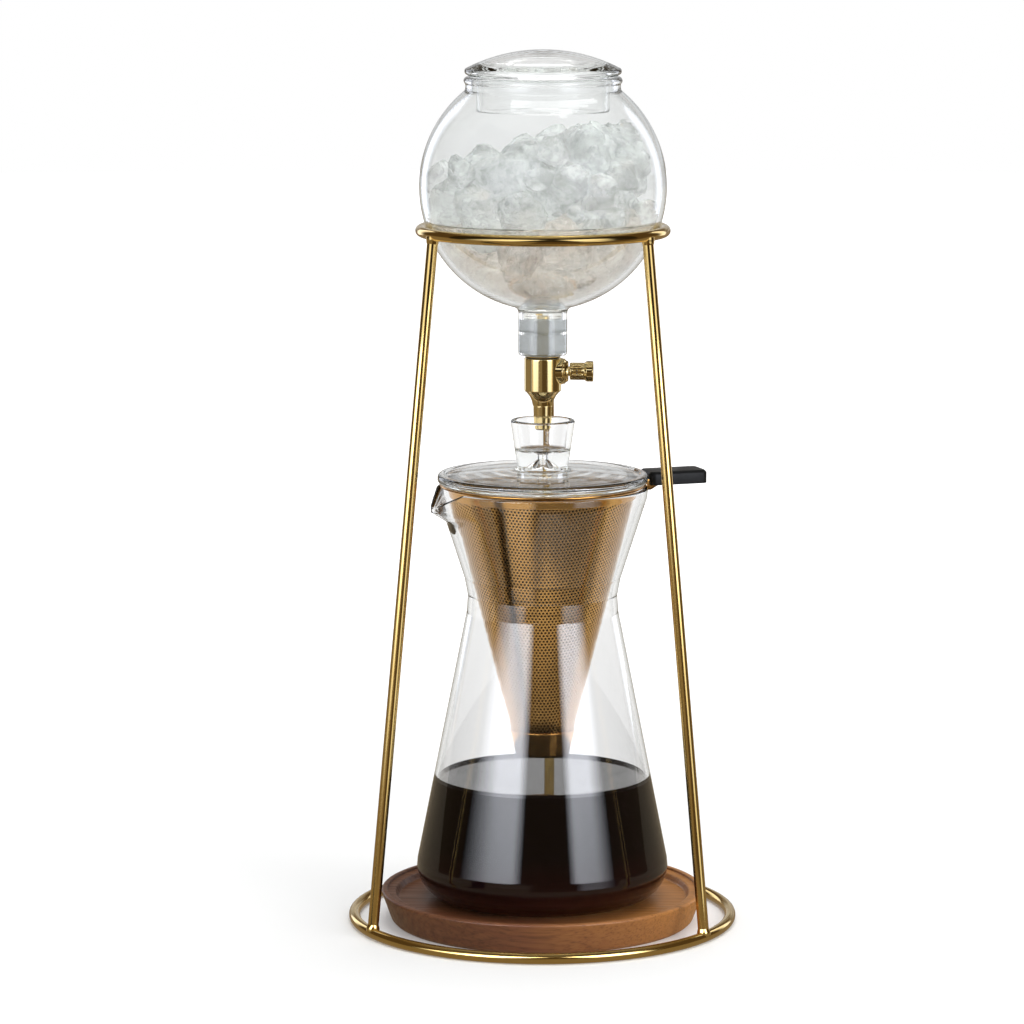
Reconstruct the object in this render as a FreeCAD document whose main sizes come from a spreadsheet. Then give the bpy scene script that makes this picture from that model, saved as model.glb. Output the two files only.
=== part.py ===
"""Cold drip coffee tower: wire stand, glass globe with needle valve, filter, carafe and tray.

Millimetres, +Z up, origin on the table under the centre of the stand.
Every driving dimension is a cell of the sheet called Sizes.
"""
import FreeCAD, Part
import math
import os
import re
import Sketcher

doc = FreeCAD.newDocument("cold_drip_tower")
sheet = doc.addObject("Spreadsheet::Sheet", "Sizes")

# Driving dimensions: alias, value, meaning. Heights are above the table.
SIZES = [
    # play between pieces
    ("slip", 0.02, "between turned pieces that sit in each other"),
    ("sheet_play", 0.03, "between sheets, and between plastic and sheet"),
    ("socket_play", 0.05, "between a spigot or a screw and its hole"),
    # wire stand
    ("wire_radius", 2.15, "radius of the round wire"),
    ("base_ring_radius", 74.85, "centreline of the ring on the table"),
    ("top_ring_radius", 47.65, "centreline of the ring that carries the globe"),
    ("top_ring_height", 274.8, "height of the top ring's centreline"),
    ("weld_width", 0.85, "how far a weld stands out from the leg"),
    ("weld_end", 0.3, "how far it stands out at its thin end"),
    ("weld_length", 3.9, "length of a weld along the leg, from the ring's centreline"),
    ("globe_air", 0.35, "air that the top welds keep round the globe"),
    # tray
    ("tray_radius", 64.0, "outside of the rim"),
    ("tray_foot_radius", 60.2, "outside at the table"),
    ("tray_height", 12.6, "top of the rim"),
    ("tray_rim_round", 1.5, "rounding over the rim's outer edge"),
    ("tray_foot_bevel", 1.2, "bevel round the foot"),
    ("tray_ledge_radius", 61.6, "outside of the step inside the rim"),
    ("tray_ledge_height", 11.5, "height of that step"),
    ("tray_recess_radius", 58.4, "top edge of the recess"),
    ("tray_floor_radius", 57.2, "where the recess wall meets its floor"),
    ("tray_floor_height", 9.0, "floor of the recess"),
    # carafe
    ("carafe_base_height", 9.3, "underside of the carafe"),
    ("carafe_base_radius", 52.7, "lower cone carried down to the underside"),
    ("carafe_waist_radius", 28.6, "where the two cones would meet"),
    ("carafe_waist_height", 130.9, "height of the waist"),
    ("carafe_neck_radius", 41.2, "top of the upper cone"),
    ("carafe_neck_height", 170.0, "height of the upper cone's top"),
    ("carafe_rim_radius", 41.5, "outside of the rim"),
    ("carafe_rim_height", 174.0, "top of the rim"),
    ("rim_allowance", 0.01, "glass left above the rim before the lip is cut"),
    ("carafe_wall", 2.0, "glass thickness"),
    ("carafe_floor", 2.8, "glass thickness of the bottom"),
    ("carafe_base_round", 13.0, "outside rounding of the bottom edge"),
    ("carafe_waist_round", 27.0, "outside rounding of the waist"),
    ("serving_azimuth", 22.0, "direction of the filter's handle, opposite the beak, in degrees"),
    # beak of the carafe, along its own direction
    ("beak_reach", 47.5, "tip of the beak from the axis"),
    ("beak_root", 34.0, "where the beak starts inside the wall"),
    ("beak_root_width", 22.3, "half width at the root"),
    ("beak_tip_width", 1.4, "half width at the tip"),
    ("beak_keel_width", 0.9, "half width of the beak's underside"),
    ("beak_root_height", 158.3, "underside at the root"),
    ("beak_tip_height", 165.6, "underside at the tip"),
    ("beak_lip_start", 38.9, "where the lip starts to dip"),
    ("beak_lip_dip", 7.2, "how far the lip dips at the tip"),
    # filter
    ("flange_radius", 40.6, "outside of the filter's flange"),
    ("flange_height", 174.3, "underside of the flange"),
    ("flange_sheet", 0.8, "thickness of the flange"),
    ("collar_height", 4.2, "height of the plain band under the flange"),
    ("collar_sheet", 0.6, "thickness of that band"),
    ("cone_top_radius", 37.1, "outside of the outer cone at the flange"),
    ("cone_foot_radius", 10.2, "outside of the outer cone at its foot"),
    ("cone_foot_height", 67.9, "foot of the outer cone"),
    ("cone_sheet", 0.35, "thickness of each cone"),
    ("cone_gap", 0.3, "space between the two cones"),
    ("cap_height", 9.2, "height of the plain cap round the cone's foot"),
    ("cap_sheet", 0.5, "thickness of the cap's wall"),
    ("cap_floor", 1.0, "thickness of the cap's bottom"),
    ("cap_round", 1.3, "rounding of the cap's bottom edge"),
    # handle of the filter
    ("bracket_width", 10.0, "width of the steel bracket"),
    ("bracket_sheet", 1.0, "thickness of the steel bracket"),
    ("bracket_reach", 62.0, "end of the bracket inside the grip"),
    ("bracket_web_start", 42.2, "where the bracket's side webs start, outside the carafe"),
    ("bracket_web_end", 49.5, "where they run out"),
    ("bracket_web_depth", 3.2, "their depth under the plate"),
    ("grip_start", 42.8, "inner end of the grip"),
    ("grip_reach", 67.3, "outer end of the grip"),
    ("grip_width", 14.0, "width of the grip"),
    ("grip_bottom", 173.0, "underside of the grip"),
    ("grip_thickness", 5.2, "thickness of the grip"),
    ("grip_corner", 2.6, "rounding of its corners, seen from above"),
    ("grip_bevel", 0.9, "bevel round its top"),
    ("screw_radius", 1.2, "radius of the grip screws"),
    ("screw_head_radius", 2.2, "radius of their heads"),
    ("screw_head_height", 0.8, "height of their heads"),
    ("screw_length", 3.6, "length under the head"),
    ("first_screw", 53.0, "distance of the inner screw from the axis"),
    ("second_screw", 59.5, "distance of the outer screw from the axis"),
    # lid of the carafe with its drip cup
    ("lid_radius", 41.35, "outside of the bead"),
    ("lid_plate_radius", 38.0, "where the plate meets the bead"),
    ("lid_underside", 175.6, "underside of the bead"),
    ("lid_bead_height", 3.5, "height of the bead"),
    ("lid_plate_sheet", 2.4, "thickness of the plate"),
    ("lid_rise", 2.6, "how far the plate domes up"),
    ("lid_skirt_radius", 35.3, "outside of the locating ring under the plate"),
    ("lid_skirt_sheet", 1.6, "thickness of that ring"),
    ("lid_skirt_depth", 2.4, "its depth below the bead"),
    ("cup_foot_radius", 9.8, "outside of the drip cup at its foot"),
    ("cup_rim_radius", 12.75, "outside of the drip cup at its rim"),
    ("cup_rim_height", 200.4, "rim of the drip cup"),
    ("cup_wall", 2.1, "glass thickness of the drip cup"),
    ("cup_floor_height", 188.3, "floor of the drip cup"),
    ("cup_drain_radius", 1.5, "hole in the cup's floor"),
    ("cup_hollow_radius", 6.6, "mouth of the hollow under the cup"),
    ("cup_hollow_height", 185.6, "top of that hollow"),
    # globe
    ("globe_radius", 48.25, "outside of the globe"),
    ("globe_height", 291.8, "centre of the globe"),
    ("globe_wall", 2.0, "glass thickness"),
    ("mouth_radius", 30.2, "outside of the mouth's neck"),
    ("mouth_bore", 27.8, "inside of the mouth"),
    ("bead_radius", 1.55, "radius of the rolled bead"),
    ("bead_height", 333.0, "centre of the bead"),
    ("bead_centre_radius", 29.35, "distance of the bead's centre from the axis"),
    ("outlet_radius", 9.6, "outside of the outlet neck"),
    ("outlet_bore", 7.6, "inside of the outlet neck"),
    ("outlet_height", 225.9, "lower end of the outlet neck"),
    # lid of the globe
    ("dome_height", 345.0, "top of the dome"),
    ("dome_curve", 66.0, "radius of curvature of the dome"),
    ("dome_edge_radius", 29.9, "where the dome rounds over"),
    ("dome_rim_radius", 30.55, "widest place of the rim"),
    ("dome_rim_height", 336.6, "height of that place"),
    ("dome_seat_radius", 29.2, "outside of the face that rests on the mouth"),
    ("dome_seat_height", 334.85, "height of that face"),
    ("dome_wall", 2.2, "glass thickness"),
    ("dome_skirt_radius", 25.9, "outside of the skirt"),
    ("dome_skirt_foot", 320.8, "lower end of the skirt"),
    # bung
    ("bung_radius", 7.5, "outside of the bung"),
    ("bung_foot", 226.75, "lower end of the bung"),
    ("bung_top", 240.5, "upper end of the bung"),
    ("bung_groove_height", 234.6, "middle of the groove round the bung"),
    ("bung_groove_width", 1.2, "width of the groove"),
    ("bung_groove_depth", 0.6, "depth of the groove"),
    # inlet stem and flange seal
    ("stem_tube_radius", 2.5, "outside of the tube through the bung"),
    ("stem_tube_bore", 1.4, "inside of the tube"),
    ("stem_tube_top", 241.6, "upper end of the tube"),
    ("stem_disc_radius", 7.2, "disc under the bung"),
    ("stem_disc_foot", 225.3, "underside of the disc"),
    ("stem_disc_top", 226.6, "top of the disc"),
    ("stem_spigot_radius", 3.0, "spigot screwed into the valve body"),
    ("stem_spigot_foot", 222.0, "lower end of the spigot"),
    ("seal_radius", 6.6, "outside of the flange seal"),
    # valve body
    ("body_radius", 7.25, "barrel of the valve body"),
    ("body_top", 224.8, "top of the barrel"),
    ("body_shoulder", 211.6, "where the barrel ends and the cone starts"),
    ("body_edge", 0.35, "bevel of the barrel's edges"),
    ("body_cone_curve", 8.0, "hollow curve of the cone"),
    ("body_foot", 206.0, "lower end of the cone"),
    ("body_foot_radius", 4.0, "radius of the cone's lower end"),
    ("inlet_shift", 1.2, "inlet passage, off the axis"),
    ("inlet_passage_radius", 0.9, "radius of the inlet passage"),
    ("outlet_shift", 2.0, "outlet passage, off the axis on the other side"),
    ("outlet_passage_radius", 1.0, "radius of the outlet passage"),
    ("outlet_passage_foot", 212.5, "where it breaks into the nozzle's bore"),
    ("nozzle_bore", 1.4, "bore under the outlet passage"),
    ("nozzle_bore_top", 214.6, "top of that bore"),
    # drip nozzle
    ("nozzle_radius", 3.75, "top of the nozzle"),
    ("nozzle_waist_radius", 3.5, "bottom of its tapered part"),
    ("nozzle_waist_height", 199.0, "height of that place"),
    ("nozzle_tip_radius", 3.15, "ring at the nozzle's tip"),
    ("nozzle_tip", 196.6, "lowest point of the nozzle"),
    ("nozzle_spigot_radius", 2.4, "spigot screwed into the valve body"),
    ("nozzle_spigot_top", 209.4, "upper end of the spigot"),
    # needle and its housing, measured along the needle from the tower's axis
    ("needle_height", 219.5, "height of the needle's axis"),
    ("boss_radius", 5.2, "boss on the barrel"),
    ("boss_reach", 8.0, "face of the boss"),
    ("seat_start", -2.4, "inner end of the seat's orifice"),
    ("seat_radius", 0.8, "radius of the seat's orifice"),
    ("chamber_start", 0.2, "inner end of the needle's chamber"),
    ("chamber_radius", 2.1, "radius of the needle's chamber"),
    ("gland_start", 6.2, "inner end of the packing gland"),
    ("gland_spigot_radius", 3.2, "part of the gland inside the boss"),
    ("gland_reach", 10.0, "outer face of the gland"),
    ("gland_face_radius", 3.9, "radius of that face"),
    ("gland_collar_radius", 5.0, "radius of the gland at the boss"),
    ("gland_bore", 1.97, "bore of the gland"),
    ("needle_point", -0.7, "tip of the needle"),
    ("needle_point_radius", 0.25, "radius of the tip"),
    ("needle_taper_radius", 0.76, "radius of the taper at the seat"),
    ("needle_neck_start", 0.9, "start of the threaded part"),
    ("needle_neck_radius", 1.2, "radius of the neck behind the taper"),
    ("needle_thread_radius", 2.02, "radius over the thread"),
    ("needle_thread_end", 4.4, "end of the threaded part"),
    ("needle_stem_radius", 1.9, "radius of the stem in the gland"),
    ("needle_end", 18.4, "outer end of the spindle"),
    ("oring_start", 7.0, "start of the O-ring's groove"),
    ("oring_width", 0.8, "width of the groove"),
    ("oring_groove_radius", 1.2, "bottom of the groove"),
    ("oring_section", 0.36, "radius of the O-ring's section"),
    # knob
    ("knob_start", 10.6, "inner face of the knob"),
    ("knob_radius", 3.4, "radius of the knob"),
    ("knob_grip_end", 16.4, "where the flare starts"),
    ("knob_flare_start", 17.2, "where the flare is full"),
    ("knob_flare_radius", 4.05, "radius of the flare"),
    ("knob_reach", 19.8, "outer face of the knob"),
    ("knob_dish", 0.5, "depth of the dish in the outer face"),
    ("knob_socket_end", 18.5, "end of the socket for the spindle"),
    ("knurl_count", 14, "grooves round the knob"),
    ("knurl_radius", 0.45, "radius of a groove"),
    ("pin_position", 13.5, "place of the cross pin"),
    ("pin_radius", 0.6, "radius of the cross pin"),
]


def fill_sheet():
    """Writes each dimension as a plain number with its alias and its meaning."""
    for row, (alias, value, meaning) in enumerate(SIZES, start=1):
        sheet.set(f"A{row}", alias)
        sheet.set(f"B{row}", str(value))
        sheet.set(f"C{row}", meaning)
        sheet.setAlias(f"B{row}", alias)
    doc.recompute()


fill_sheet()
ALIASES = {alias for alias, value, meaning in SIZES}


def bound(formula):
    """The formula with each alias written as a reference to the sheet."""
    def reference(word):
        return "Sizes." + word[0] if word[0] in ALIASES else word[0]

    return re.sub(r"[a-z_]+", reference, formula)


def number(formula):
    """The formula's present value."""
    return float(sheet.evalExpression(bound(formula)))


def bind(feature, **formulas):
    """Ties properties of a feature to the sheet, such as Length or Radius."""
    for name, formula in formulas.items():
        feature.setExpression(name, bound(formula))


# ---------------------------------------------------------------- bodies and sketches
def new_body(name, along_x=False, turned=False):
    """A body of its own; along_x lays its Z axis on the needle's axis, turned turns it to the handle."""
    body = doc.addObject("PartDesign::Body", name)
    body.Label = name
    if along_x:
        onto_x = FreeCAD.Rotation(FreeCAD.Vector(0, 1, 0), 90)
        body.Placement = FreeCAD.Placement(FreeCAD.Vector(), onto_x)
        body.setExpression("Placement.Base.z", bound("needle_height"))
    if turned:
        about_z = FreeCAD.Rotation(FreeCAD.Vector(0, 0, 1), 1)
        body.Placement = FreeCAD.Placement(FreeCAD.Vector(), about_z)
        body.setExpression("Placement.Rotation.Angle", bound("serving_azimuth"))
    return body


def new_sketch(body, plane="XZ_Plane", offset="0"):
    """An empty sketch on one of the body's own origin planes, moved along the plane's normal."""
    sketch = body.newObject("Sketcher::SketchObject", "outline")
    support = [feature for feature in body.Origin.OriginFeatures if feature.Role == plane][0]
    sketch.AttachmentSupport = [(support, "")]
    sketch.MapMode = "FlatFace"
    sketch.AttachmentOffset = FreeCAD.Placement(FreeCAD.Vector(0, 0, number(offset)), FreeCAD.Rotation())
    sketch.setExpression("AttachmentOffset.Base.z", bound(offset))
    doc.recompute()
    return sketch


def hold(sketch, kind, formula, *places):
    """Adds a dimension whose value follows the formula."""
    index = sketch.addConstraint(Sketcher.Constraint(kind, *places, number(formula)))
    sketch.setExpression(f"Constraints[{index}]", bound(formula))


def arc_between(start, end, radius, left):
    """The short arc of this radius from start to end, with its centre left or right of the chord."""
    chord = end - start
    side = FreeCAD.Vector(-chord.y, chord.x, 0).normalize() * (1 if left else -1)
    reach = math.sqrt(max(radius ** 2 - (chord.Length / 2) ** 2, 0))
    centre = (start + end) / 2 + side * reach
    circle = Part.Circle(centre, FreeCAD.Vector(0, 0, 1), radius)
    first, last = (start, end) if left else (end, start)
    angles = [math.atan2(point.y - centre.y, point.x - centre.x) for point in (first, last)]
    if angles[1] <= angles[0]:
        angles[1] += 2 * math.pi
    return Part.ArcOfCircle(circle, *angles)


def draw_outline(sketch, corners, arcs=None):
    """Closes an outline through the corners, each a pair of formulas.

    arcs gives the edges that are arcs: the number of the corner where the edge starts,
    with the radius and "left" or "right", the side of the edge that the centre is on.
    """
    arcs = arcs or {}
    points = [FreeCAD.Vector(number(across), number(up), 0) for across, up in corners]
    ends = []
    for index, start in enumerate(points):
        end = points[(index + 1) % len(points)]
        if index in arcs:
            radius, side = arcs[index]
            edge = sketch.addGeometry(arc_between(start, end, number(radius), side == "left"), False)
            ends.append((edge, 1, 2) if side == "left" else (edge, 2, 1))
        else:
            edge = sketch.addGeometry(Part.LineSegment(start, end), False)
            ends.append((edge, 1, 2))
    for index, (edge, first, last) in enumerate(ends):
        next_edge, next_first, next_last = ends[(index + 1) % len(ends)]
        sketch.addConstraint(Sketcher.Constraint("Coincident", edge, last, next_edge, next_first))
        across, up = corners[index]
        if across == "0":
            sketch.addConstraint(Sketcher.Constraint("PointOnObject", edge, first, -2))
        else:
            hold(sketch, "DistanceX", across, -1, 1, edge, first)
        if up == "0":
            sketch.addConstraint(Sketcher.Constraint("PointOnObject", edge, first, -1))
        else:
            hold(sketch, "DistanceY", up, -1, 1, edge, first)
        if index in arcs:
            hold(sketch, "Radius", arcs[index][0], edge)
    return sketch


def draw_circle(sketch, across, up, radius):
    """A circle whose centre and radius follow their formulas."""
    centre = FreeCAD.Vector(number(across), number(up), 0)
    edge = sketch.addGeometry(Part.Circle(centre, FreeCAD.Vector(0, 0, 1), number(radius)), False)
    for kind, formula, axis in (("DistanceX", across, -2), ("DistanceY", up, -1)):
        if formula == "0":
            sketch.addConstraint(Sketcher.Constraint("PointOnObject", edge, 3, axis))
        else:
            hold(sketch, kind, formula, -1, 1, edge, 3)
    hold(sketch, "Radius", radius, edge)
    return sketch


# ---------------------------------------------------------------- features
def turn(body, corners, arcs=None, cut=False):
    """Turns an outline, given as radius and height, about the body's Z axis."""
    before = body.Shape.Volume if cut else 0
    sketch = draw_outline(new_sketch(body), corners, arcs)
    feature = body.newObject("PartDesign::Groove" if cut else "PartDesign::Revolution", "turned")
    feature.Profile = sketch
    feature.ReferenceAxis = (sketch, ["V_Axis"])
    feature.Angle = 360
    doc.recompute()
    if cut and body.Shape.Volume >= before:
        raise RuntimeError(f"{body.Label}: a turned cut removed nothing")
    return feature


def pad(body, sketch, length, both_ways=False):
    """Raises a sketch along its normal."""
    feature = body.newObject("PartDesign::Pad", "pad")
    feature.Profile = sketch
    feature.SideType = "Symmetric" if both_ways else "One side"
    bind(feature, Length=length)
    doc.recompute()
    return feature


def pocket(body, sketch, depth, both_ways=False):
    """Sinks a sketch against its normal and checks that it cuts."""
    before = body.Shape.Volume
    feature = body.newObject("PartDesign::Pocket", "pocket")
    feature.Profile = sketch
    feature.SideType = "Symmetric" if both_ways else "One side"
    bind(feature, Length=depth)
    doc.recompute()
    if body.Shape.Volume >= before:
        raise RuntimeError(f"{body.Label}: a pocket removed nothing")
    return feature


def bore(body, across, up, radius, start, depth, plane="XY_Plane"):
    """A round hole that starts at a height on the plane's normal and runs back against it."""
    sketch = draw_circle(new_sketch(body, plane, start), across, up, radius)
    return pocket(body, sketch, depth)


def ring_edges(feature, radius, height):
    """Names of the circular edges with this radius at this height."""
    names = []
    tolerance = 0.02
    for index, edge in enumerate(feature.Shape.Edges, start=1):
        if not isinstance(edge.Curve, Part.Circle):
            continue
        fits_radius = abs(edge.Curve.Radius - number(radius)) < tolerance
        fits_height = abs(edge.Curve.Center.z - number(height)) < tolerance
        if fits_radius and fits_height:
            names.append(f"Edge{index}")
    if not names:
        raise RuntimeError(f"{feature.Label}: no edge of radius {radius} at {height}")
    return names


def round_edges(body, feature, edges, radius, kind="Fillet"):
    """Rounds or bevels edges of a feature."""
    rounded = body.newObject(f"PartDesign::{kind}", kind.lower())
    rounded.Base = (feature, edges)
    bind(rounded, **{"Radius" if kind == "Fillet" else "Size": radius})
    doc.recompute()
    return rounded


# ---------------------------------------------------------------- stand
LEG_AZIMUTHS = {"front_left": 210, "front_right": 330, "rear": 90}
LEG_RUN = "(base_ring_radius - top_ring_radius)"
LEG_RISE = "(top_ring_height - wire_radius)"
LEG_LEAN = f"atan({LEG_RUN} / {LEG_RISE})"


def make_ring(name, radius, height):
    """A closed ring of round wire."""
    ring = doc.addObject("Part::Torus", name)
    ring.Label = name
    bind(ring, Radius1=radius, Radius2="wire_radius")
    ring.setExpression("Placement.Base.z", bound(height))
    return ring


def lean(shape, angle, base_radius, base_height):
    """Leans a bar that stands on the X side inwards, from a point on a ring."""
    shape.Placement = FreeCAD.Placement(FreeCAD.Vector(), FreeCAD.Rotation(FreeCAD.Vector(0, -1, 0), 1))
    shape.setExpression("Placement.Base.x", bound(base_radius))
    shape.setExpression("Placement.Base.z", bound(base_height))
    shape.setExpression("Placement.Rotation.Angle", bound(angle))


def make_bar(name):
    """The blank of a leg: a straight bar between the two rings' centrelines."""
    bar = doc.addObject("Part::Cylinder", name)
    bind(bar, Radius="wire_radius", Height=f"sqrt({LEG_RUN} ^ 2 + {LEG_RISE} ^ 2)")
    lean(bar, LEG_LEAN, "base_ring_radius", "wire_radius")
    return bar


def make_weld_blank(name, at_top):
    """A cone of weld metal round the end of a leg."""
    cone = doc.addObject("Part::Cone", name)
    bind(cone, Radius1="wire_radius + weld_width", Radius2="wire_radius + weld_end", Height="weld_length")
    if at_top:
        lean(cone, f"180 deg + {LEG_LEAN}", "top_ring_radius", "top_ring_height")
    else:
        lean(cone, LEG_LEAN, "base_ring_radius", "wire_radius")
    return cone


def make_globe_space():
    """The globe's outer sphere with a little air round it."""
    space = doc.addObject("Part::Sphere", "globe_space")
    bind(space, Radius="globe_radius + globe_air")
    space.setExpression("Placement.Base.z", bound("globe_height"))
    return space


def cut_from(name, blank, tools, azimuth):
    """The blank less its neighbours, turned to its place round the stand."""
    for index, tool in enumerate(tools):
        step = doc.addObject("Part::Cut", f"{name}_{index}")
        step.Base = blank
        step.Tool = tool
        blank = step
    about_z = FreeCAD.Rotation(FreeCAD.Vector(0, 0, 1), azimuth)
    blank.Placement = FreeCAD.Placement(FreeCAD.Vector(), about_z)
    blank.Label = name
    return blank


def make_stand():
    """Two rings, three legs and a weld at each end of a leg."""
    base_ring = make_ring("stand_base_ring", "base_ring_radius", "wire_radius")
    top_ring = make_ring("stand_top_ring", "top_ring_radius", "top_ring_height")
    nodes = [base_ring, top_ring]
    for side, azimuth in LEG_AZIMUTHS.items():
        name = f"stand_leg_{side}"
        nodes.append(cut_from(name, make_bar(f"bar_{side}"), [base_ring, top_ring], azimuth))
    neighbours = {"base": [base_ring], "top": [top_ring, make_globe_space()]}
    for level, rings in neighbours.items():
        beads = []
        for side, azimuth in LEG_AZIMUTHS.items():
            blank = make_weld_blank(f"bead_{level}_{side}", at_top=level == "top")
            tools = [make_bar(f"core_{level}_{side}")] + rings
            beads.append(cut_from(f"weld_{level}_{side}", blank, tools, azimuth))
        welds = doc.addObject("Part::Compound", f"stand_welds_{level}")
        welds.Label = f"stand_welds_{level}"
        welds.Links = beads
        nodes.append(welds)
    return nodes


# ---------------------------------------------------------------- tray
def make_tray():
    """Turned wooden tray: side flaring up to a rounded rim, a step and a shallow recess."""
    body = new_body("wooden_tray")
    turn(body, [
        ("0", "0"),
        ("tray_foot_radius - tray_foot_bevel", "0"),
        ("tray_foot_radius", "tray_foot_bevel"),
        ("tray_radius", "tray_height - tray_rim_round"),
        ("tray_radius - tray_rim_round", "tray_height"),
        ("tray_ledge_radius", "tray_height"),
        ("tray_ledge_radius", "tray_ledge_height"),
        ("tray_recess_radius", "tray_ledge_height"),
        ("tray_floor_radius", "tray_floor_height"),
        ("0", "tray_floor_height"),
    ], {3: ("tray_rim_round", "left")})
    return [body]


# ---------------------------------------------------------------- carafe
def beak_section(body, distance, half_width, keel, keel_height, top):
    """A cross section of the beak: wide and open above, narrow below."""
    sketch = new_sketch(body, "YZ_Plane", f"-({distance})")
    draw_outline(sketch, [
        (f"-({half_width})", top),
        (f"-({keel})", keel_height),
        (keel, keel_height),
        (half_width, top),
    ])
    return sketch


def carafe_form(name, inset, floor, top):
    """A solid with the carafe's shape, moved in from its outside by the inset."""
    body = new_body(name, turned=True)
    solid = turn(body, [
        ("0", floor),
        (f"carafe_base_radius - {inset}", floor),
        (f"carafe_waist_radius - {inset}", "carafe_waist_height"),
        (f"carafe_neck_radius - {inset}", "carafe_neck_height"),
        (f"carafe_rim_radius - {inset}", "carafe_rim_height"),
        (f"carafe_rim_radius - {inset}", top),
        ("0", top),
    ])
    bottom = ring_edges(solid, f"carafe_base_radius - {inset}", floor)
    solid = round_edges(body, solid, bottom, f"carafe_base_round - {inset}")
    waist = ring_edges(solid, f"carafe_waist_radius - {inset}", "carafe_waist_height")
    round_edges(body, solid, waist, f"carafe_waist_round + {inset}")
    # the beak, whose wall gets thinner towards its tip
    root = beak_section(body, f"(beak_root - {inset})", f"beak_root_width - 0.3 * {inset}",
                        f"beak_keel_width - 0.2 * {inset}", f"beak_root_height + 0.6 * {inset}", top)
    tip = beak_section(body, f"(beak_reach - 0.25 * {inset})", f"beak_tip_width - 0.45 * {inset}",
                       f"beak_keel_width - 0.33 * {inset}", f"beak_tip_height + 0.4 * {inset}", top)
    beak = body.newObject("PartDesign::AdditiveLoft", "beak")
    beak.Profile = root
    beak.Sections = [tip]
    beak.Ruled = True
    doc.recompute()
    return body


def make_carafe():
    """Waisted glass carafe with a beak opposite the filter's handle."""
    top = "carafe_rim_height + rim_allowance"
    outside = carafe_form("carafe_outside", "0", "carafe_base_height", top)
    # the cut along the lip runs on past the beak's tip at the same slope
    far = "(beak_reach + 2)"
    slope = "beak_lip_dip / (beak_reach - beak_lip_start)"
    rim = new_sketch(outside)
    draw_outline(rim, [
        ("0", "carafe_rim_height"),
        ("0", "carafe_rim_height + 2"),
        (f"-{far}", "carafe_rim_height + 2"),
        (f"-{far}", f"carafe_rim_height - ({far} - beak_lip_start) * {slope}"),
        ("-beak_lip_start", "carafe_rim_height"),
    ])
    pocket(outside, rim, "4 * beak_root_width", both_ways=True)
    floor = "carafe_base_height + carafe_floor"
    inside = carafe_form("carafe_inside", "carafe_wall", floor, "carafe_rim_height + 1")
    carafe = doc.addObject("Part::Cut", "carafe")
    carafe.Label = "carafe"
    carafe.Base = outside
    carafe.Tool = inside
    return [carafe]


# ---------------------------------------------------------------- filter
CONE_SLOPE = "(cone_top_radius - cone_foot_radius) / (flange_height - cone_foot_height)"


def cone_radius(height, inset="0"):
    """Formula of the outer cone's radius at a height, less an inset."""
    return f"cone_foot_radius + ({height} - cone_foot_height) * {CONE_SLOPE} - ({inset})"


def make_cone(name, inset, foot):
    """One layer of the filter: a thin cone, open above, with a flat bottom."""
    body = new_body(name)
    inner = f"{inset} + cone_sheet"
    turn(body, [
        ("0", foot),
        (cone_radius(f"({foot})", inset), foot),
        (cone_radius("flange_height", inset), "flange_height"),
        (cone_radius("flange_height", inner), "flange_height"),
        (cone_radius(f"({foot} + cone_sheet)", inner), f"{foot} + cone_sheet"),
        ("0", f"{foot} + cone_sheet"),
    ])
    return body


def make_filter_rim():
    """Flat flange on the carafe's rim with a plain band below it, outside the cones."""
    body = new_body("filter_rim")
    band_foot = "(flange_height - collar_height)"
    turn(body, [
        (cone_radius(band_foot, "-sheet_play"), band_foot),
        (cone_radius(band_foot, "-sheet_play - collar_sheet"), band_foot),
        (cone_radius("flange_height", "-sheet_play - collar_sheet"), "flange_height"),
        ("flange_radius", "flange_height"),
        ("flange_radius", "flange_height + flange_sheet"),
        ("cone_top_radius - 2 * cone_sheet - cone_gap", "flange_height + flange_sheet"),
        ("cone_top_radius - 2 * cone_sheet - cone_gap", "flange_height + sheet_play"),
        (cone_radius("flange_height", "-sheet_play"), "flange_height + sheet_play"),
    ])
    return body


def make_filter_cap():
    """Plain steel cup that closes the foot of the outer cone."""
    body = new_body("filter_bottom_cap")
    seat = "(cone_foot_height - sheet_play)"
    foot = f"({seat} - cap_floor)"
    rim = "(cone_foot_height + cap_height)"
    outside = "cone_foot_radius + sheet_play + cap_sheet"
    turn(body, [
        ("0", foot),
        (f"{outside} - cap_round", foot),
        (outside, f"{foot} + cap_round"),
        (cone_radius(rim, "-sheet_play - cap_sheet"), rim),
        (cone_radius(rim, "-sheet_play"), rim),
        (cone_radius(seat, "-sheet_play"), seat),
        ("0", seat),
    ], {1: ("cap_round", "left")})
    return body


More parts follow.
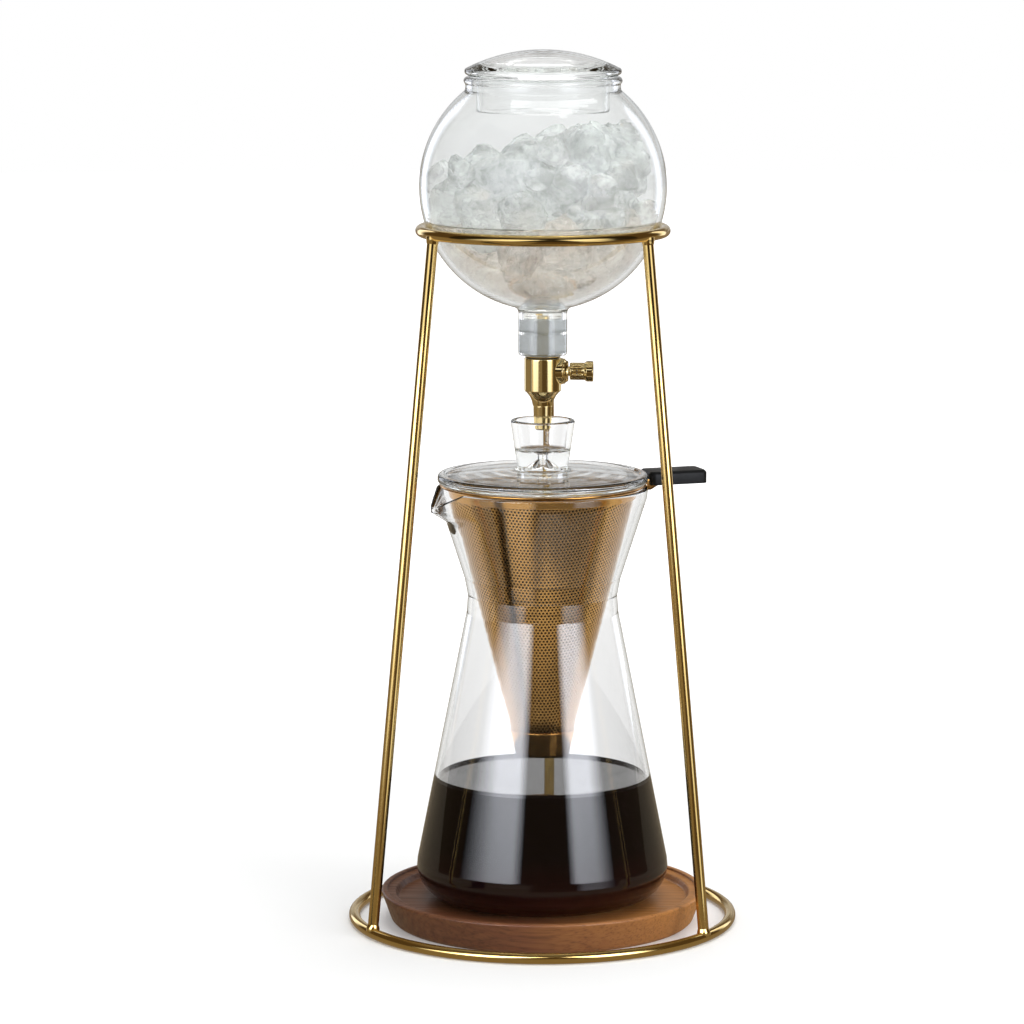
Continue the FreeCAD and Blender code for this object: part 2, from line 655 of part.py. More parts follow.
def make_bracket():
    """Steel channel from the flange to the grip, clear of the carafe's rim."""
    body = new_body("handle_bracket", turned=True)
    plate = new_sketch(body)
    plate_top = "flange_height + bracket_sheet"
    draw_outline(plate, [
        ("cone_top_radius", "flange_height"),
        ("bracket_web_start", "flange_height"),
        ("bracket_web_start", "flange_height - bracket_web_depth"),
        ("bracket_web_start + 1.5", "flange_height - bracket_web_depth"),
        ("bracket_web_end", "flange_height"),
        ("bracket_reach", "flange_height"),
        ("bracket_reach", plate_top),
        ("cone_top_radius", plate_top),
    ])
    pad(body, plate, "bracket_width", both_ways=True)
    channel = new_sketch(body)
    draw_outline(channel, [
        ("bracket_web_start - 1", "flange_height - bracket_web_depth - 1"),
        ("bracket_web_end + 1", "flange_height - bracket_web_depth - 1"),
        ("bracket_web_end + 1", "flange_height"),
        ("bracket_web_start - 1", "flange_height"),
    ])
    pocket(body, channel, "bracket_width - 2 * bracket_sheet", both_ways=True)
    for place in ("first_screw", "second_screw"):
        bore(body, place, "0", "screw_radius + socket_play", f"{plate_top} + 1", "bracket_sheet + 2")
    # the inner end is hollowed to fit round the flange
    turn(body, [
        ("0", "flange_height - 1"),
        ("flange_radius + slip", "flange_height - 1"),
        ("flange_radius + slip", f"{plate_top} + 1"),
        ("0", f"{plate_top} + 1"),
    ], cut=True)
    return body


def make_grip():
    """Flat plastic grip moulded over the bracket's end."""
    body = new_body("handle_grip", turned=True)
    side = "grip_width / 2"
    block = new_sketch(body, "XY_Plane", "grip_bottom")
    draw_outline(block, [
        ("grip_start + grip_corner", f"-{side}"),
        ("grip_reach - grip_corner", f"-{side}"),
        ("grip_reach", f"grip_corner - {side}"),
        ("grip_reach", f"{side} - grip_corner"),
        ("grip_reach - grip_corner", side),
        ("grip_start + grip_corner", side),
        ("grip_start", f"{side} - grip_corner"),
        ("grip_start", f"grip_corner - {side}"),
    ], {1: ("grip_corner", "left"), 3: ("grip_corner", "left"),
        5: ("grip_corner", "left"), 7: ("grip_corner", "left")})
    block = pad(body, block, "grip_thickness")
    top = number("grip_bottom + grip_thickness")
    rim = []
    for index, edge in enumerate(block.Shape.Edges, start=1):
        if all(abs(vertex.Z - top) < 0.01 for vertex in edge.Vertexes):
            rim.append(f"Edge{index}")
    round_edges(body, block, rim, "grip_bevel", kind="Chamfer")
    # slot for the plate and notch for the webs
    slot = new_sketch(body)
    draw_outline(slot, [
        ("grip_start - 1", "flange_height - sheet_play"),
        ("bracket_reach + sheet_play", "flange_height - sheet_play"),
        ("bracket_reach + sheet_play", "flange_height + bracket_sheet + sheet_play"),
        ("grip_start - 1", "flange_height + bracket_sheet + sheet_play"),
    ])
    pocket(body, slot, "bracket_width + 2 * sheet_play", both_ways=True)
    notch = new_sketch(body)
    draw_outline(notch, [
        ("grip_start - 1", "grip_bottom - 1"),
        ("bracket_web_end + 0.3", "grip_bottom - 1"),
        ("bracket_web_end + 0.3", "flange_height"),
        ("grip_start - 1", "flange_height"),
    ])
    pocket(body, notch, "bracket_width + 2 * sheet_play", both_ways=True)
    for place in ("first_screw", "second_screw"):
        start = "grip_bottom + screw_length + 0.1"
        bore(body, place, "0", "screw_radius + slip", start, "screw_length + 1")
    return body


def make_grip_screws():
    """Two round headed screws, from below."""
    screws = []
    for index, place in enumerate(("first_screw", "second_screw"), start=1):
        screw = new_body(f"grip_screw_{index}")
        turn(screw, [
            ("0", "-screw_head_height"),
            ("screw_head_radius - 0.5", "-screw_head_height"),
            ("screw_head_radius", "-0.3"),
            ("screw_head_radius", "-slip"),
            ("screw_radius", "-slip"),
            ("screw_radius", "screw_length - 0.4"),
            ("screw_radius - 0.4", "screw_length"),
            ("0", "screw_length"),
        ])
        screw.setExpression("Placement.Base.x", bound(f"{place} * cos(serving_azimuth)"))
        screw.setExpression("Placement.Base.y", bound(f"{place} * sin(serving_azimuth)"))
        screw.setExpression("Placement.Base.z", bound("grip_bottom"))
        screws.append(screw)
    group = doc.addObject("Part::Compound", "grip_screws")
    group.Label = "grip_screws"
    group.Links = screws
    return group


def make_filter():
    """Two cones under a flange, a cap below them and a handle."""
    step = "cone_sheet + cone_gap"
    outer = make_cone("filter_outer_cone", "0", "cone_foot_height")
    inner = make_cone("filter_inner_cone", step, f"(cone_foot_height + {step})")
    cup = [make_filter_rim(), outer, inner, make_filter_cap()]
    return cup + [make_bracket(), make_grip(), make_grip_screws()]


# ---------------------------------------------------------------- lid of the carafe
def make_carafe_lid():
    """Domed glass plate with a beaded edge and a drip cup for a knob."""
    body = new_body("carafe_lid")
    plate_top = "lid_underside + 0.4 + lid_plate_sheet"
    cup_depth = "(cup_rim_height - lid_underside - lid_rise - lid_plate_sheet)"
    cup_lean = f"(cup_rim_radius - cup_foot_radius) / {cup_depth}"
    cup_inner = f"(cup_rim_radius - cup_wall - (cup_rim_height - cup_floor_height) * {cup_lean})"
    dome_curve = "(lid_plate_radius ^ 2 + lid_rise ^ 2) / (2 * lid_rise)"
    turn(body, [
        ("cup_drain_radius", "cup_hollow_height"),
        ("cup_hollow_radius", "lid_underside + 0.4 + lid_rise"),
        ("lid_skirt_radius - lid_skirt_sheet", "lid_underside + 0.9"),
        ("lid_skirt_radius - lid_skirt_sheet", "lid_underside - lid_skirt_depth"),
        ("lid_skirt_radius", "lid_underside - lid_skirt_depth"),
        ("lid_skirt_radius", "lid_underside + 0.5"),
        ("lid_plate_radius", "lid_underside + 0.4"),
        ("lid_plate_radius + 0.8", "lid_underside"),
        ("lid_radius - lid_bead_height / 2", "lid_underside"),
        ("lid_radius - lid_bead_height / 2", "lid_underside + lid_bead_height"),
        ("lid_plate_radius + 0.4", "lid_underside + lid_bead_height"),
        ("lid_plate_radius", plate_top),
        ("cup_foot_radius", f"{plate_top} + lid_rise - 0.25"),
        ("cup_rim_radius", "cup_rim_height - cup_wall / 2"),
        ("cup_rim_radius - cup_wall", "cup_rim_height - cup_wall / 2"),
        (cup_inner, "cup_floor_height + 1.0"),
        (f"{cup_inner} - 1.2", "cup_floor_height"),
        ("cup_drain_radius", "cup_floor_height - 0.6"),
    ], {
        1: (dome_curve, "right"),
        8: ("0.52 * lid_bead_height", "left"),
        11: (dome_curve, "left"),
        13: ("0.52 * cup_wall", "left"),
    })
    return [body]


# ---------------------------------------------------------------- globe and its lid
def sphere_height(sphere, radius, sign):
    """Formula of the height where a sphere round the globe's centre has this radius."""
    return f"globe_height {sign} sqrt({sphere} ^ 2 - {radius} ^ 2)"


def make_globe():
    """Blown glass globe with a rolled mouth above and an outlet neck below."""
    body = new_body("globe")
    inner = "(globe_radius - globe_wall)"
    bead_side = "sqrt(bead_radius ^ 2 - (mouth_radius - bead_centre_radius) ^ 2)"
    glass = turn(body, [
        ("outlet_bore", "outlet_height"),
        ("outlet_radius", "outlet_height"),
        ("outlet_radius", sphere_height("globe_radius", "outlet_radius", "-")),
        ("mouth_radius", sphere_height("globe_radius", "mouth_radius", "+")),
        ("mouth_radius", f"bead_height - {bead_side}"),
        ("bead_centre_radius", "bead_height + bead_radius"),
        ("mouth_bore", "bead_height"),
        ("mouth_bore", sphere_height(inner, "mouth_bore", "+")),
        ("outlet_bore", sphere_height(inner, "outlet_bore", "-")),
    ], {
        2: ("globe_radius", "left"),
        4: ("bead_radius", "left"),
        5: ("bead_radius", "left"),
        7: (inner, "right"),
    })
    neck_root = ring_edges(glass, "outlet_radius", sphere_height("globe_radius", "outlet_radius", "-"))
    glass = round_edges(body, glass, neck_root, "1.2 * globe_wall")
    mouth_root = ring_edges(glass, "mouth_radius", sphere_height("globe_radius", "mouth_radius", "+"))
    glass = round_edges(body, glass, mouth_root, "0.6 * globe_wall")
    round_edges(body, glass, ring_edges(glass, "outlet_radius", "outlet_height"), "0.4 * globe_wall")
    return body


def make_globe_lid():
    """Hollow glass dome whose skirt hangs in the globe's mouth."""
    body = new_body("globe_lid")
    skirt_bore = "(dome_skirt_radius - dome_wall + 0.2)"
    inner_curve = "(dome_curve - dome_wall)"
    edge_height = "dome_height - dome_curve + sqrt(dome_curve ^ 2 - dome_edge_radius ^ 2)"
    inner_height = f"dome_height - dome_curve + sqrt({inner_curve} ^ 2 - {skirt_bore} ^ 2)"
    half_wall = "(dome_wall - 0.2) / 2"
    turn(body, [
        ("0", "dome_height - dome_wall"),
        (skirt_bore, inner_height),
        (skirt_bore, f"dome_skirt_foot + {half_wall}"),
        (f"{skirt_bore} + {half_wall}", "dome_skirt_foot"),
        ("dome_skirt_radius", f"dome_skirt_foot + {half_wall}"),
        ("dome_skirt_radius", "dome_seat_height"),
        ("dome_seat_radius", "dome_seat_height"),
        ("dome_rim_radius", "dome_rim_height"),
        ("dome_edge_radius", edge_height),
        ("0", "dome_height"),
    ], {
        0: (inner_curve, "right"),
        2: (half_wall, "left"),
        3: (half_wall, "left"),
        7: ("0.9", "left"),
        8: ("dome_curve", "left"),
    })
    return body


# ---------------------------------------------------------------- bung and valve
def make_bung():
    """Silicone bung with a shallow groove, bored for the inlet tube."""
    body = new_body("outlet_bung")
    bung_bore = "stem_tube_radius + slip"
    turn(body, [
        (bung_bore, "bung_foot"),
        ("bung_radius", "bung_foot"),
        ("bung_radius", "bung_groove_height - bung_groove_width / 2"),
        ("bung_radius - bung_groove_depth", "bung_groove_height"),
        ("bung_radius", "bung_groove_height + bung_groove_width / 2"),
        ("bung_radius", "bung_top - 0.8"),
        ("bung_radius - 0.8", "bung_top"),
        (bung_bore, "bung_top"),
    ])
    return body


def make_inlet_stem():
    """Brass disc with a tube up through the bung and a spigot down into the valve."""
    body = new_body("inlet_stem")
    turn(body, [
        ("stem_tube_bore", "stem_spigot_foot"),
        ("stem_spigot_radius", "stem_spigot_foot"),
        ("stem_spigot_radius", "stem_disc_foot"),
        ("stem_disc_radius - 0.3", "stem_disc_foot"),
        ("stem_disc_radius", "stem_disc_foot + 0.3"),
        ("stem_disc_radius", "stem_disc_top - 0.3"),
        ("stem_disc_radius - 0.3", "stem_disc_top"),
        ("stem_tube_radius", "stem_disc_top"),
        ("stem_tube_radius", "stem_tube_top - 0.5"),
        ("stem_tube_radius - 0.5", "stem_tube_top"),
        ("stem_tube_bore", "stem_tube_top"),
    ])
    return body


def make_flange_seal():
    """Flat dark ring between the disc and the valve body."""
    body = new_body("flange_seal")
    turn(body, [
        ("stem_spigot_radius + socket_play", "body_top"),
        ("seal_radius", "body_top"),
        ("seal_radius", "stem_disc_foot"),
        ("stem_spigot_radius + socket_play", "stem_disc_foot"),
    ])
    return body


def make_valve_body():
    """Turned brass barrel with a boss for the needle and a hollow cone below."""
    body = new_body("valve_body")
    turn(body, [
        ("0", "body_foot"),
        ("body_foot_radius", "body_foot"),
        ("body_radius - body_edge", "body_shoulder"),
        ("body_radius", "body_shoulder + body_edge"),
        ("body_radius", "body_top - body_edge"),
        ("body_radius - body_edge", "body_top"),
        ("0", "body_top"),
    ], {1: ("body_cone_curve", "right")})
    boss = new_sketch(body, "YZ_Plane")
    draw_circle(boss, "0", "needle_height", "boss_radius")
    pad(body, boss, "boss_reach")
    # socket and passage for the water coming down, off the axis on the needle's side
    spigot = "stem_spigot_radius + socket_play"
    bore(body, "0", "0", spigot, "body_top", "body_top - stem_spigot_foot + socket_play")
    inlet_depth = "stem_spigot_foot - needle_height"
    bore(body, "inlet_shift", "0", "inlet_passage_radius", "stem_spigot_foot", inlet_depth)
    # bores along the needle: gland, chamber and seat
    reach = "boss_reach + 0.5"
    gland = "gland_spigot_radius + socket_play"
    bore(body, "0", "needle_height", gland, reach, f"{reach} - gland_start", "YZ_Plane")
    bore(body, "0", "needle_height", "chamber_radius", "gland_start",
         "gland_start - chamber_start", "YZ_Plane")
    bore(body, "0", "needle_height", "seat_radius", "chamber_start + 0.1",
         "chamber_start + 0.1 - seat_start", "YZ_Plane")
    # passage for the throttled water, down to the nozzle
    bore(body, "-outlet_shift", "0", "outlet_passage_radius", "needle_height",
         "needle_height - outlet_passage_foot")
    bore(body, "0", "0", "nozzle_bore", "nozzle_bore_top", "nozzle_bore_top - body_foot + 1")
    socket_top = "nozzle_spigot_top + socket_play"
    bore(body, "0", "0", "nozzle_spigot_radius + socket_play", socket_top, f"{socket_top} - body_foot + 1")
    return body


def make_nozzle():
    """Slim brass nozzle screwed into the cone, with a ring at its tip."""
    body = new_body("drip_nozzle")
    tube_bore = "nozzle_bore - 0.2"
    turn(body, [
        (tube_bore, "nozzle_tip"),
        ("nozzle_tip_radius - 0.6", "nozzle_tip"),
        ("nozzle_tip_radius", "nozzle_tip + 0.6"),
        ("nozzle_tip_radius", "nozzle_waist_height - 0.25"),
        ("nozzle_tip_radius - 0.3", "nozzle_waist_height - 0.25"),
        ("nozzle_tip_radius - 0.3", "nozzle_waist_height"),
        ("nozzle_waist_radius", "nozzle_waist_height"),
        ("nozzle_radius", "body_foot - slip"),
        ("nozzle_spigot_radius", "body_foot - slip"),
        ("nozzle_spigot_radius", "nozzle_spigot_top"),
        (tube_bore, "nozzle_spigot_top"),
    ])
    return body


def make_gland():
    """Brass collar that closes the needle's chamber."""
    body = new_body("packing_gland", along_x=True)
    turn(body, [
        ("gland_bore", "gland_start + slip"),
        ("gland_spigot_radius", "gland_start + slip"),
        ("gland_spigot_radius", "boss_reach + slip"),
        ("gland_collar_radius", "boss_reach + slip"),
        ("gland_collar_radius", "boss_reach + 0.5"),
        ("gland_face_radius", "gland_reach"),
        ("gland_bore", "gland_reach"),
    ], {4: ("3", "right")})
    return body


def make_needle():
    """Brass spindle: tapered point, thread, stem with the O-ring's groove, plain end in the knob."""
    body = new_body("valve_needle", along_x=True)
    groove_end = "oring_start + oring_width"
    turn(body, [
        ("0", "needle_point"),
        ("needle_point_radius", "needle_point"),
        ("needle_taper_radius", "chamber_start + 0.1"),
        ("needle_neck_radius", "needle_neck_start"),
        ("needle_thread_radius", "needle_neck_start + 0.4"),
        ("needle_thread_radius", "needle_thread_end"),
        ("needle_stem_radius", "needle_thread_end + 0.1"),
        ("needle_stem_radius", "oring_start"),
        ("oring_groove_radius", "oring_start"),
        ("oring_groove_radius", groove_end),
        ("needle_stem_radius", groove_end),
        ("needle_stem_radius", "needle_end"),
        ("0", "needle_end"),
    ])
    bore(body, "0", "pin_position", "pin_radius + slip", "knob_radius", "2 * knob_radius", "XZ_Plane")
    return body


def make_stem_ring():
    """Rubber O-ring in the needle's groove."""
    body = new_body("stem_o_ring", along_x=True)
    sketch = new_sketch(body)
    centre = "oring_groove_radius + oring_section + slip"
    draw_circle(sketch, centre, "oring_start + oring_width / 2", "oring_section")
    feature = body.newObject("PartDesign::Revolution", "turned")
    feature.Profile = sketch
    feature.ReferenceAxis = (sketch, ["V_Axis"])
    feature.Angle = 360
    doc.recompute()
    return body


def make_knob():
    """Brass knob with grooves to grip and a flared, dished end."""
    body = new_body("valve_knob", along_x=True)
    socket = "needle_stem_radius + slip"
    turned = turn(body, [
        (socket, "knob_start"),
        ("knob_radius - 0.4", "knob_start"),
        ("knob_radius", "knob_start + 0.4"),
        ("knob_radius", "knob_grip_end"),
        ("knob_flare_radius", "knob_flare_start"),
        ("knob_flare_radius", "knob_reach - 0.4"),
        ("knob_flare_radius - 0.4", "knob_reach"),
        ("knob_radius - 0.6", "knob_reach"),
        ("knob_radius - 1.0", "knob_reach - knob_dish"),
        ("0", "knob_reach - knob_dish"),
        ("0", "knob_socket_end"),
        (socket, "knob_socket_end"),
    ])
    groove = new_sketch(body, "XY_Plane", "knob_grip_end - 0.4")
    draw_circle(groove, "knob_radius + knurl_radius / 3", "0", "knurl_radius")
    cut = pocket(body, groove, "knob_grip_end - knob_start - 1.2")
    pattern = body.newObject("PartDesign::PolarPattern", "knurl")
    pattern.Originals = [cut]
    pattern.Axis = (groove, ["N_Axis"])
    pattern.Angle = 360
    bind(pattern, Occurrences="knurl_count")
    body.Tip = pattern
    doc.recompute()
    if body.Shape.Volume >= turned.Shape.Volume - 1:
        raise RuntimeError("valve_knob: the grooves are missing")
    bore(body, "0", "pin_position", "pin_radius + slip", "knob_radius + 1",
         "2 * knob_radius + 2", "XZ_Plane")
    return body


def make_knob_pin():
    """Cross pin through the knob and the spindle."""
    body = new_body("knob_pin", along_x=True)
    section = draw_circle(new_sketch(body), "0", "pin_position", "pin_radius")
    pad(body, section, "2 * knob_radius - 0.3", both_ways=True)
    return body


def make_valve():
    """Everything in and under the globe's outlet neck."""
    outlet = [make_bung(), make_inlet_stem(), make_flange_seal()]
    housing = [make_valve_body(), make_nozzle(), make_gland()]
    spindle = [make_needle(), make_stem_ring(), make_knob(), make_knob_pin()]
    return outlet + housing + spindle


# ---------------------------------------------------------------- the whole tower
def check(nodes):
    """Stops if any object failed or any piece isn't a valid solid."""
    doc.recompute()
    for item in doc.Objects:
        if "Invalid" in item.State or "Error" in item.State:
            raise RuntimeError(f"{item.Name} ({item.Label}) failed: {item.State}")
    for node in nodes:
        shape = node.Shape
        if shape.isNull() or not shape.isValid() or not shape.Solids:
            raise RuntimeError(f"{node.Label} has no valid solid")
        if any(solid.Volume <= 0 for solid in shape.Solids):
            raise RuntimeError(f"{node.Label} has an empty solid")


def main():
    """Builds every piece, checks it and writes one STEP file for each."""
    nodes = make_stand() + make_tray() + make_carafe() + make_filter() + make_carafe_lid()
    nodes += [make_globe(), make_globe_lid()] + make_valve()
    check(nodes)
    os.makedirs("parts", exist_ok=True)
    for node in nodes:
        node.Shape.exportStep(os.path.join("parts", f"{node.Label}.step"))
        print(f"{node.Label}: {len(node.Shape.Solids)} solid, {node.Shape.Volume:.1f} mm3")


main()
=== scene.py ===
"""The looks of a cold drip coffee tower, built round its CAD solids.

A brass plated wire stand carries a glass globe of iced water with a needle valve. It drips
through a gold coated filter into a waisted glass carafe that stands in a turned wooden tray.
Outlines are in millimetres, as radius and height above the table; meshes are in metres.
"""

import math
import random

import bmesh
import bpy
from mathutils import Matrix, Vector, noise


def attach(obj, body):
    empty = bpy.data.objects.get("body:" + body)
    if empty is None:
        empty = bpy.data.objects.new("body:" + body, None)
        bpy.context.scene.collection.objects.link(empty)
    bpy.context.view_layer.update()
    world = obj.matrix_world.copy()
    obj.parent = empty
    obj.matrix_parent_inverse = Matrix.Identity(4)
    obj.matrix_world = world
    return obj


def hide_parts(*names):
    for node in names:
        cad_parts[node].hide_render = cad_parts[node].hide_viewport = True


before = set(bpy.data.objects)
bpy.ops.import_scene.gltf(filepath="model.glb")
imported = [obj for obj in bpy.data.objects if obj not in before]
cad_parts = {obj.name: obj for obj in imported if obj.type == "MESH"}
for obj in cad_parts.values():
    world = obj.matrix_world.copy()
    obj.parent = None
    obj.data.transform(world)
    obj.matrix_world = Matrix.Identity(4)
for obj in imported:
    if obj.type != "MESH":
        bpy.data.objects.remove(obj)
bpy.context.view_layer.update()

MM = 0.001
# without a seed of its own the noise would start from the time of day
noise.seed_set(11)


# -------------------------------- sizes that several pieces share
WIRE = 2.15
BASE_RING = 74.85
TOP_RING = 47.65
TOP_RING_HEIGHT = 274.8
LEG_AZIMUTHS = {"front_left": 210, "front_right": 330, "rear": 90}

GLOBE_HEIGHT = 291.8
GLOBE_OUTSIDE = 48.25
GLOBE_INSIDE = 46.25
NECK_OUTSIDE = 9.6
NECK_BORE = 7.6
MOUTH_OUTSIDE = 30.2
MOUTH_BORE = 27.8
WATER_LEVEL = 279.0
ICE_ROOM = 45.9

WAIST = (28.6, 130.9)
FUNNEL_TOP = (41.2, 170.0)
RIM = (41.5, 174.0)
BASE = (52.7, 9.3)
GLASS = 2.0
CARAFE_FLOOR = 12.1
SERVING_AZIMUTH = 22
COFFEE_LEVEL = 57.6

CONE_FOOT = (10.2, 67.9)
CONE_TOP = (37.1, 174.3)
CONE_SLOPE = (CONE_TOP[0] - CONE_FOOT[0]) / (CONE_TOP[1] - CONE_FOOT[1])
CONE_APEX = CONE_FOOT[1] - CONE_FOOT[0] / CONE_SLOPE

NEEDLE_HEIGHT = 219.5
VIEW_AZIMUTH = -87.1


# -------------------------------- nodes
def linear(code):
    """An sRGB colour such as #C9A24E as linear red, green, blue and alpha."""
    channels = [int(code[place:place + 2], 16) / 255 for place in (1, 3, 5)]
    return [c / 12.92 if c <= 0.04045 else ((c + 0.055) / 1.055) ** 2.4 for c in channels] + [1.0]


def add(tree, kind, inputs=(), stops=(), **settings):
    """Adds a node with its settings and links.

    Inputs, by name or in order, are values, #RRGGBB colours, sockets, or nodes whose first live
    output is meant. Stops are a ramp's places and colours. A kind in capitals is a sum.
    """
    if kind.isupper():
        kind, settings = "Math", {"operation": kind}
    node = tree.nodes.new(kind if kind.startswith(("Geometry", "NodeGroup")) else f"ShaderNode{kind}")
    for name, value in settings.items():
        setattr(node, name, value)
    live = [socket for socket in node.inputs if socket.enabled]
    pairs = inputs.items() if isinstance(inputs, dict) else enumerate(inputs)
    for key, value in pairs:
        target = node.inputs[key] if isinstance(key, str) else live[key]
        if isinstance(value, bpy.types.Node):
            value = next(socket for socket in value.outputs if socket.enabled)
        if isinstance(value, bpy.types.NodeSocket):
            tree.links.new(value, target)
        else:
            target.default_value = linear(value) if isinstance(value, str) else value
    for index, (place, colour) in enumerate(stops):
        elements = node.color_ramp.elements
        element = elements[index] if index < len(elements) else elements.new(1.0)
        element.position = place
        element.color = linear(colour)
    return node


def new_material(name):
    """An empty material and its tree."""
    material = bpy.data.materials.new(name)
    material.use_nodes = True
    material.node_tree.nodes.clear()
    return material, material.node_tree


def finished(material, *shaders):
    """Joins a surface, and a volume if there is one, to the material's output."""
    add(material.node_tree, "OutputMaterial", shaders)
    return material


def pattern_place(tree, size):
    """Object coordinates in steps of a size in millimetres, one number or one for each axis."""
    sizes = size if isinstance(size, tuple) else (size,) * 3
    place = add(tree, "TexCoord")
    scale = [1 / (length * MM) for length in sizes]
    return add(tree, "Mapping", {"Vector": place.outputs["Object"], "Scale": scale})


def clouds(tree, size, **inputs):
    """Random soft patches of a size in millimetres."""
    return add(tree, "TexNoise", {"Vector": pattern_place(tree, size), "Scale": 1.0, **inputs})


def object_axes(tree):
    """Object coordinates as the three sockets X, Y and Z, in metres."""
    return add(tree, "SeparateXYZ", [add(tree, "TexCoord").outputs["Object"]]).outputs


def lets_lamps_through(tree, body, tint="#FFFFFF"):
    """A clear body that lamps shine straight through, as real glass doesn't shade what it holds."""
    shadow = add(tree, "LightPath").outputs["Is Shadow Ray"]
    return add(tree, "MixShader", [shadow, body, add(tree, "BsdfTransparent", [tint])])


# -------------------------------- materials
def metal(name, colour, dark, roughness, mark_size, mark_stretch, mark_depth):
    """A metal with faint tarnish and fine tool or drawing marks along one direction."""
    material, tree = new_material(name)
    low, high = roughness
    tarnish = clouds(tree, 11.11, Detail=3.0)
    marks = clouds(tree, tuple(mark_size * stretch for stretch in mark_stretch), Detail=2.0)
    return finished(material, add(tree, "BsdfPrincipled", {
        "Base Color": add(tree, "ValToRGB", [tarnish], [(0.2, dark), (0.8, colour)]),
        "Metallic": 1.0,
        "Roughness": add(tree, "MapRange", [tarnish, 0.3, 0.7, high, low]),
        "Normal": add(tree, "Bump", {"Height": marks, "Strength": mark_depth, "Distance": 0.1 * MM})}))


def plated_wire():
    """Brass plating over drawn steel wire: warm, polished, with soft drawing lines."""
    return metal("polished_brass_plating", "#DABD7B", "#CFAE68", (0.10, 0.15), 3.0, (1, 1, 12), 0.001)


def turned_brass():
    """Brass from the lathe: brighter and sharper than the wire, with fine turning rings."""
    return metal("turned_brass", "#E6D19B", "#DCC488", (0.07, 0.11), 0.45, (30, 30, 1), 0.02)


def knurled_brass():
    """The same brass on a part turned about the needle's axis, so its rings run the other way."""
    return metal("turned_brass_knob", "#E6D19B", "#CFB57A", (0.08, 0.16), 0.45, (1, 30, 30), 0.03)


def coated_steel():
    """Gold coloured titanium nitride on rolled steel sheet: satin, brown where it turns away."""
    return metal("gold_coated_steel", "#C09354", "#B7894A", (0.13, 0.19), 0.5, (1, 1, 12), 0.05)


def plain_steel():
    """Bright steel of pins and screws: grey, slightly brushed."""
    return metal("bright_steel", "#B9BBBD", "#9EA0A2", (0.22, 0.34), 0.4, (1, 1, 8), 0.1)


def coated_mesh():
    """The same coating on a fine woven wire cloth; the weave is drawn at 0.5 mm, coarser than life.

    The side towards the perforated cone lies in its shade, painted as a darker copy of the weave colour, so
    it is darker than the open inner side.
    """
    material, tree = new_material("gold_coated_wire_cloth")
    pitch = 0.5
    x, _, z = add(tree, "SeparateXYZ", [pattern_place(tree, pitch / (2 * math.pi))]).outputs
    crossed = add(tree, "MULTIPLY", [add(tree, "SINE", [x]), add(tree, "SINE", [z])])
    weave = add(tree, "MapRange", [crossed, -1.0, 1.0, 0.0, 1.0])
    # the cone's apex is above the origin, so only the inner side's normals point away from the origin
    normal = add(tree, "NewGeometry").outputs["Normal"]
    place = add(tree, "TexCoord").outputs["Object"]
    away = add(tree, "VectorMath", [normal, place], operation="DOT_PRODUCT")
    inner = add(tree, "GREATER_THAN", [away, 0.0])
    # painted shade on the side that faces the perforated cone
    painted_shade_weave = add(tree, "ValToRGB", [weave], [(0.2, "#1C1308"), (0.8, "#453117")])
    open_side = add(tree, "ValToRGB", [weave], [(0.2, "#6B4F27"), (0.8, "#BE9552")])
    return finished(material, add(tree, "BsdfPrincipled", {
        "Base Color": add(tree, "Mix", [inner, painted_shade_weave, open_side], data_type="RGBA"),
        "Metallic": 1.0,
        "Roughness": 0.45,
        "Normal": add(tree, "Bump", {"Height": weave, "Strength": 0.5, "Distance": 0.2 * MM})}))


def glass(name, face, rim, edge):
    """Blown borosilicate glass: clear or misted face on, with painted grey green shade where the wall is
    seen edge on.
    """
    material, tree = new_material(name)
    facing = add(tree, "LayerWeight", {"Blend": 0.5}).outputs["Facing"]
    # painted shade: the colour turns grey green as the wall is seen edge on, standing in for the dark lines
    # of thick glass
    body = add(tree, "BsdfPrincipled", {
        "Base Color": add(tree, "ValToRGB", [facing], [(0.68, face), (0.88, rim), (1.0, edge)]),
        "Transmission Weight": 1.0, "IOR": 1.47, "Roughness": 0.0})
    absorb = add(tree, "VolumeAbsorption", {"Color": "#E7EFEA", "Density": 12.0})
    return finished(material, lets_lamps_through(tree, body, "#F6FAF8"), absorb)


def brewed_coffee(name, shine):
    """Cold brew: black in depth, with dark red painted light at the rounded foot, where light would shine
    through thin coffee.

    It mirrors hardly any light where it wets the glass, and more at its open surface.
    """
    material, tree = new_material(name)
    depth = add(tree, "MapRange", [object_axes(tree)["Z"], 12 * MM, 34 * MM, 0.0, 1.0])
    # painted light: dark red at the foot, darkening to black higher up
    painted_foot_light = add(tree, "ValToRGB", [depth], [(0.0, "#3A100B"), (0.35, "#1E0909"), (1.0, "#0B0607")])
    return finished(material, add(tree, "BsdfPrincipled", {
        "Base Color": painted_foot_light, "IOR": 1.34, "Roughness": 0.0, "Specular IOR Level": shine}))


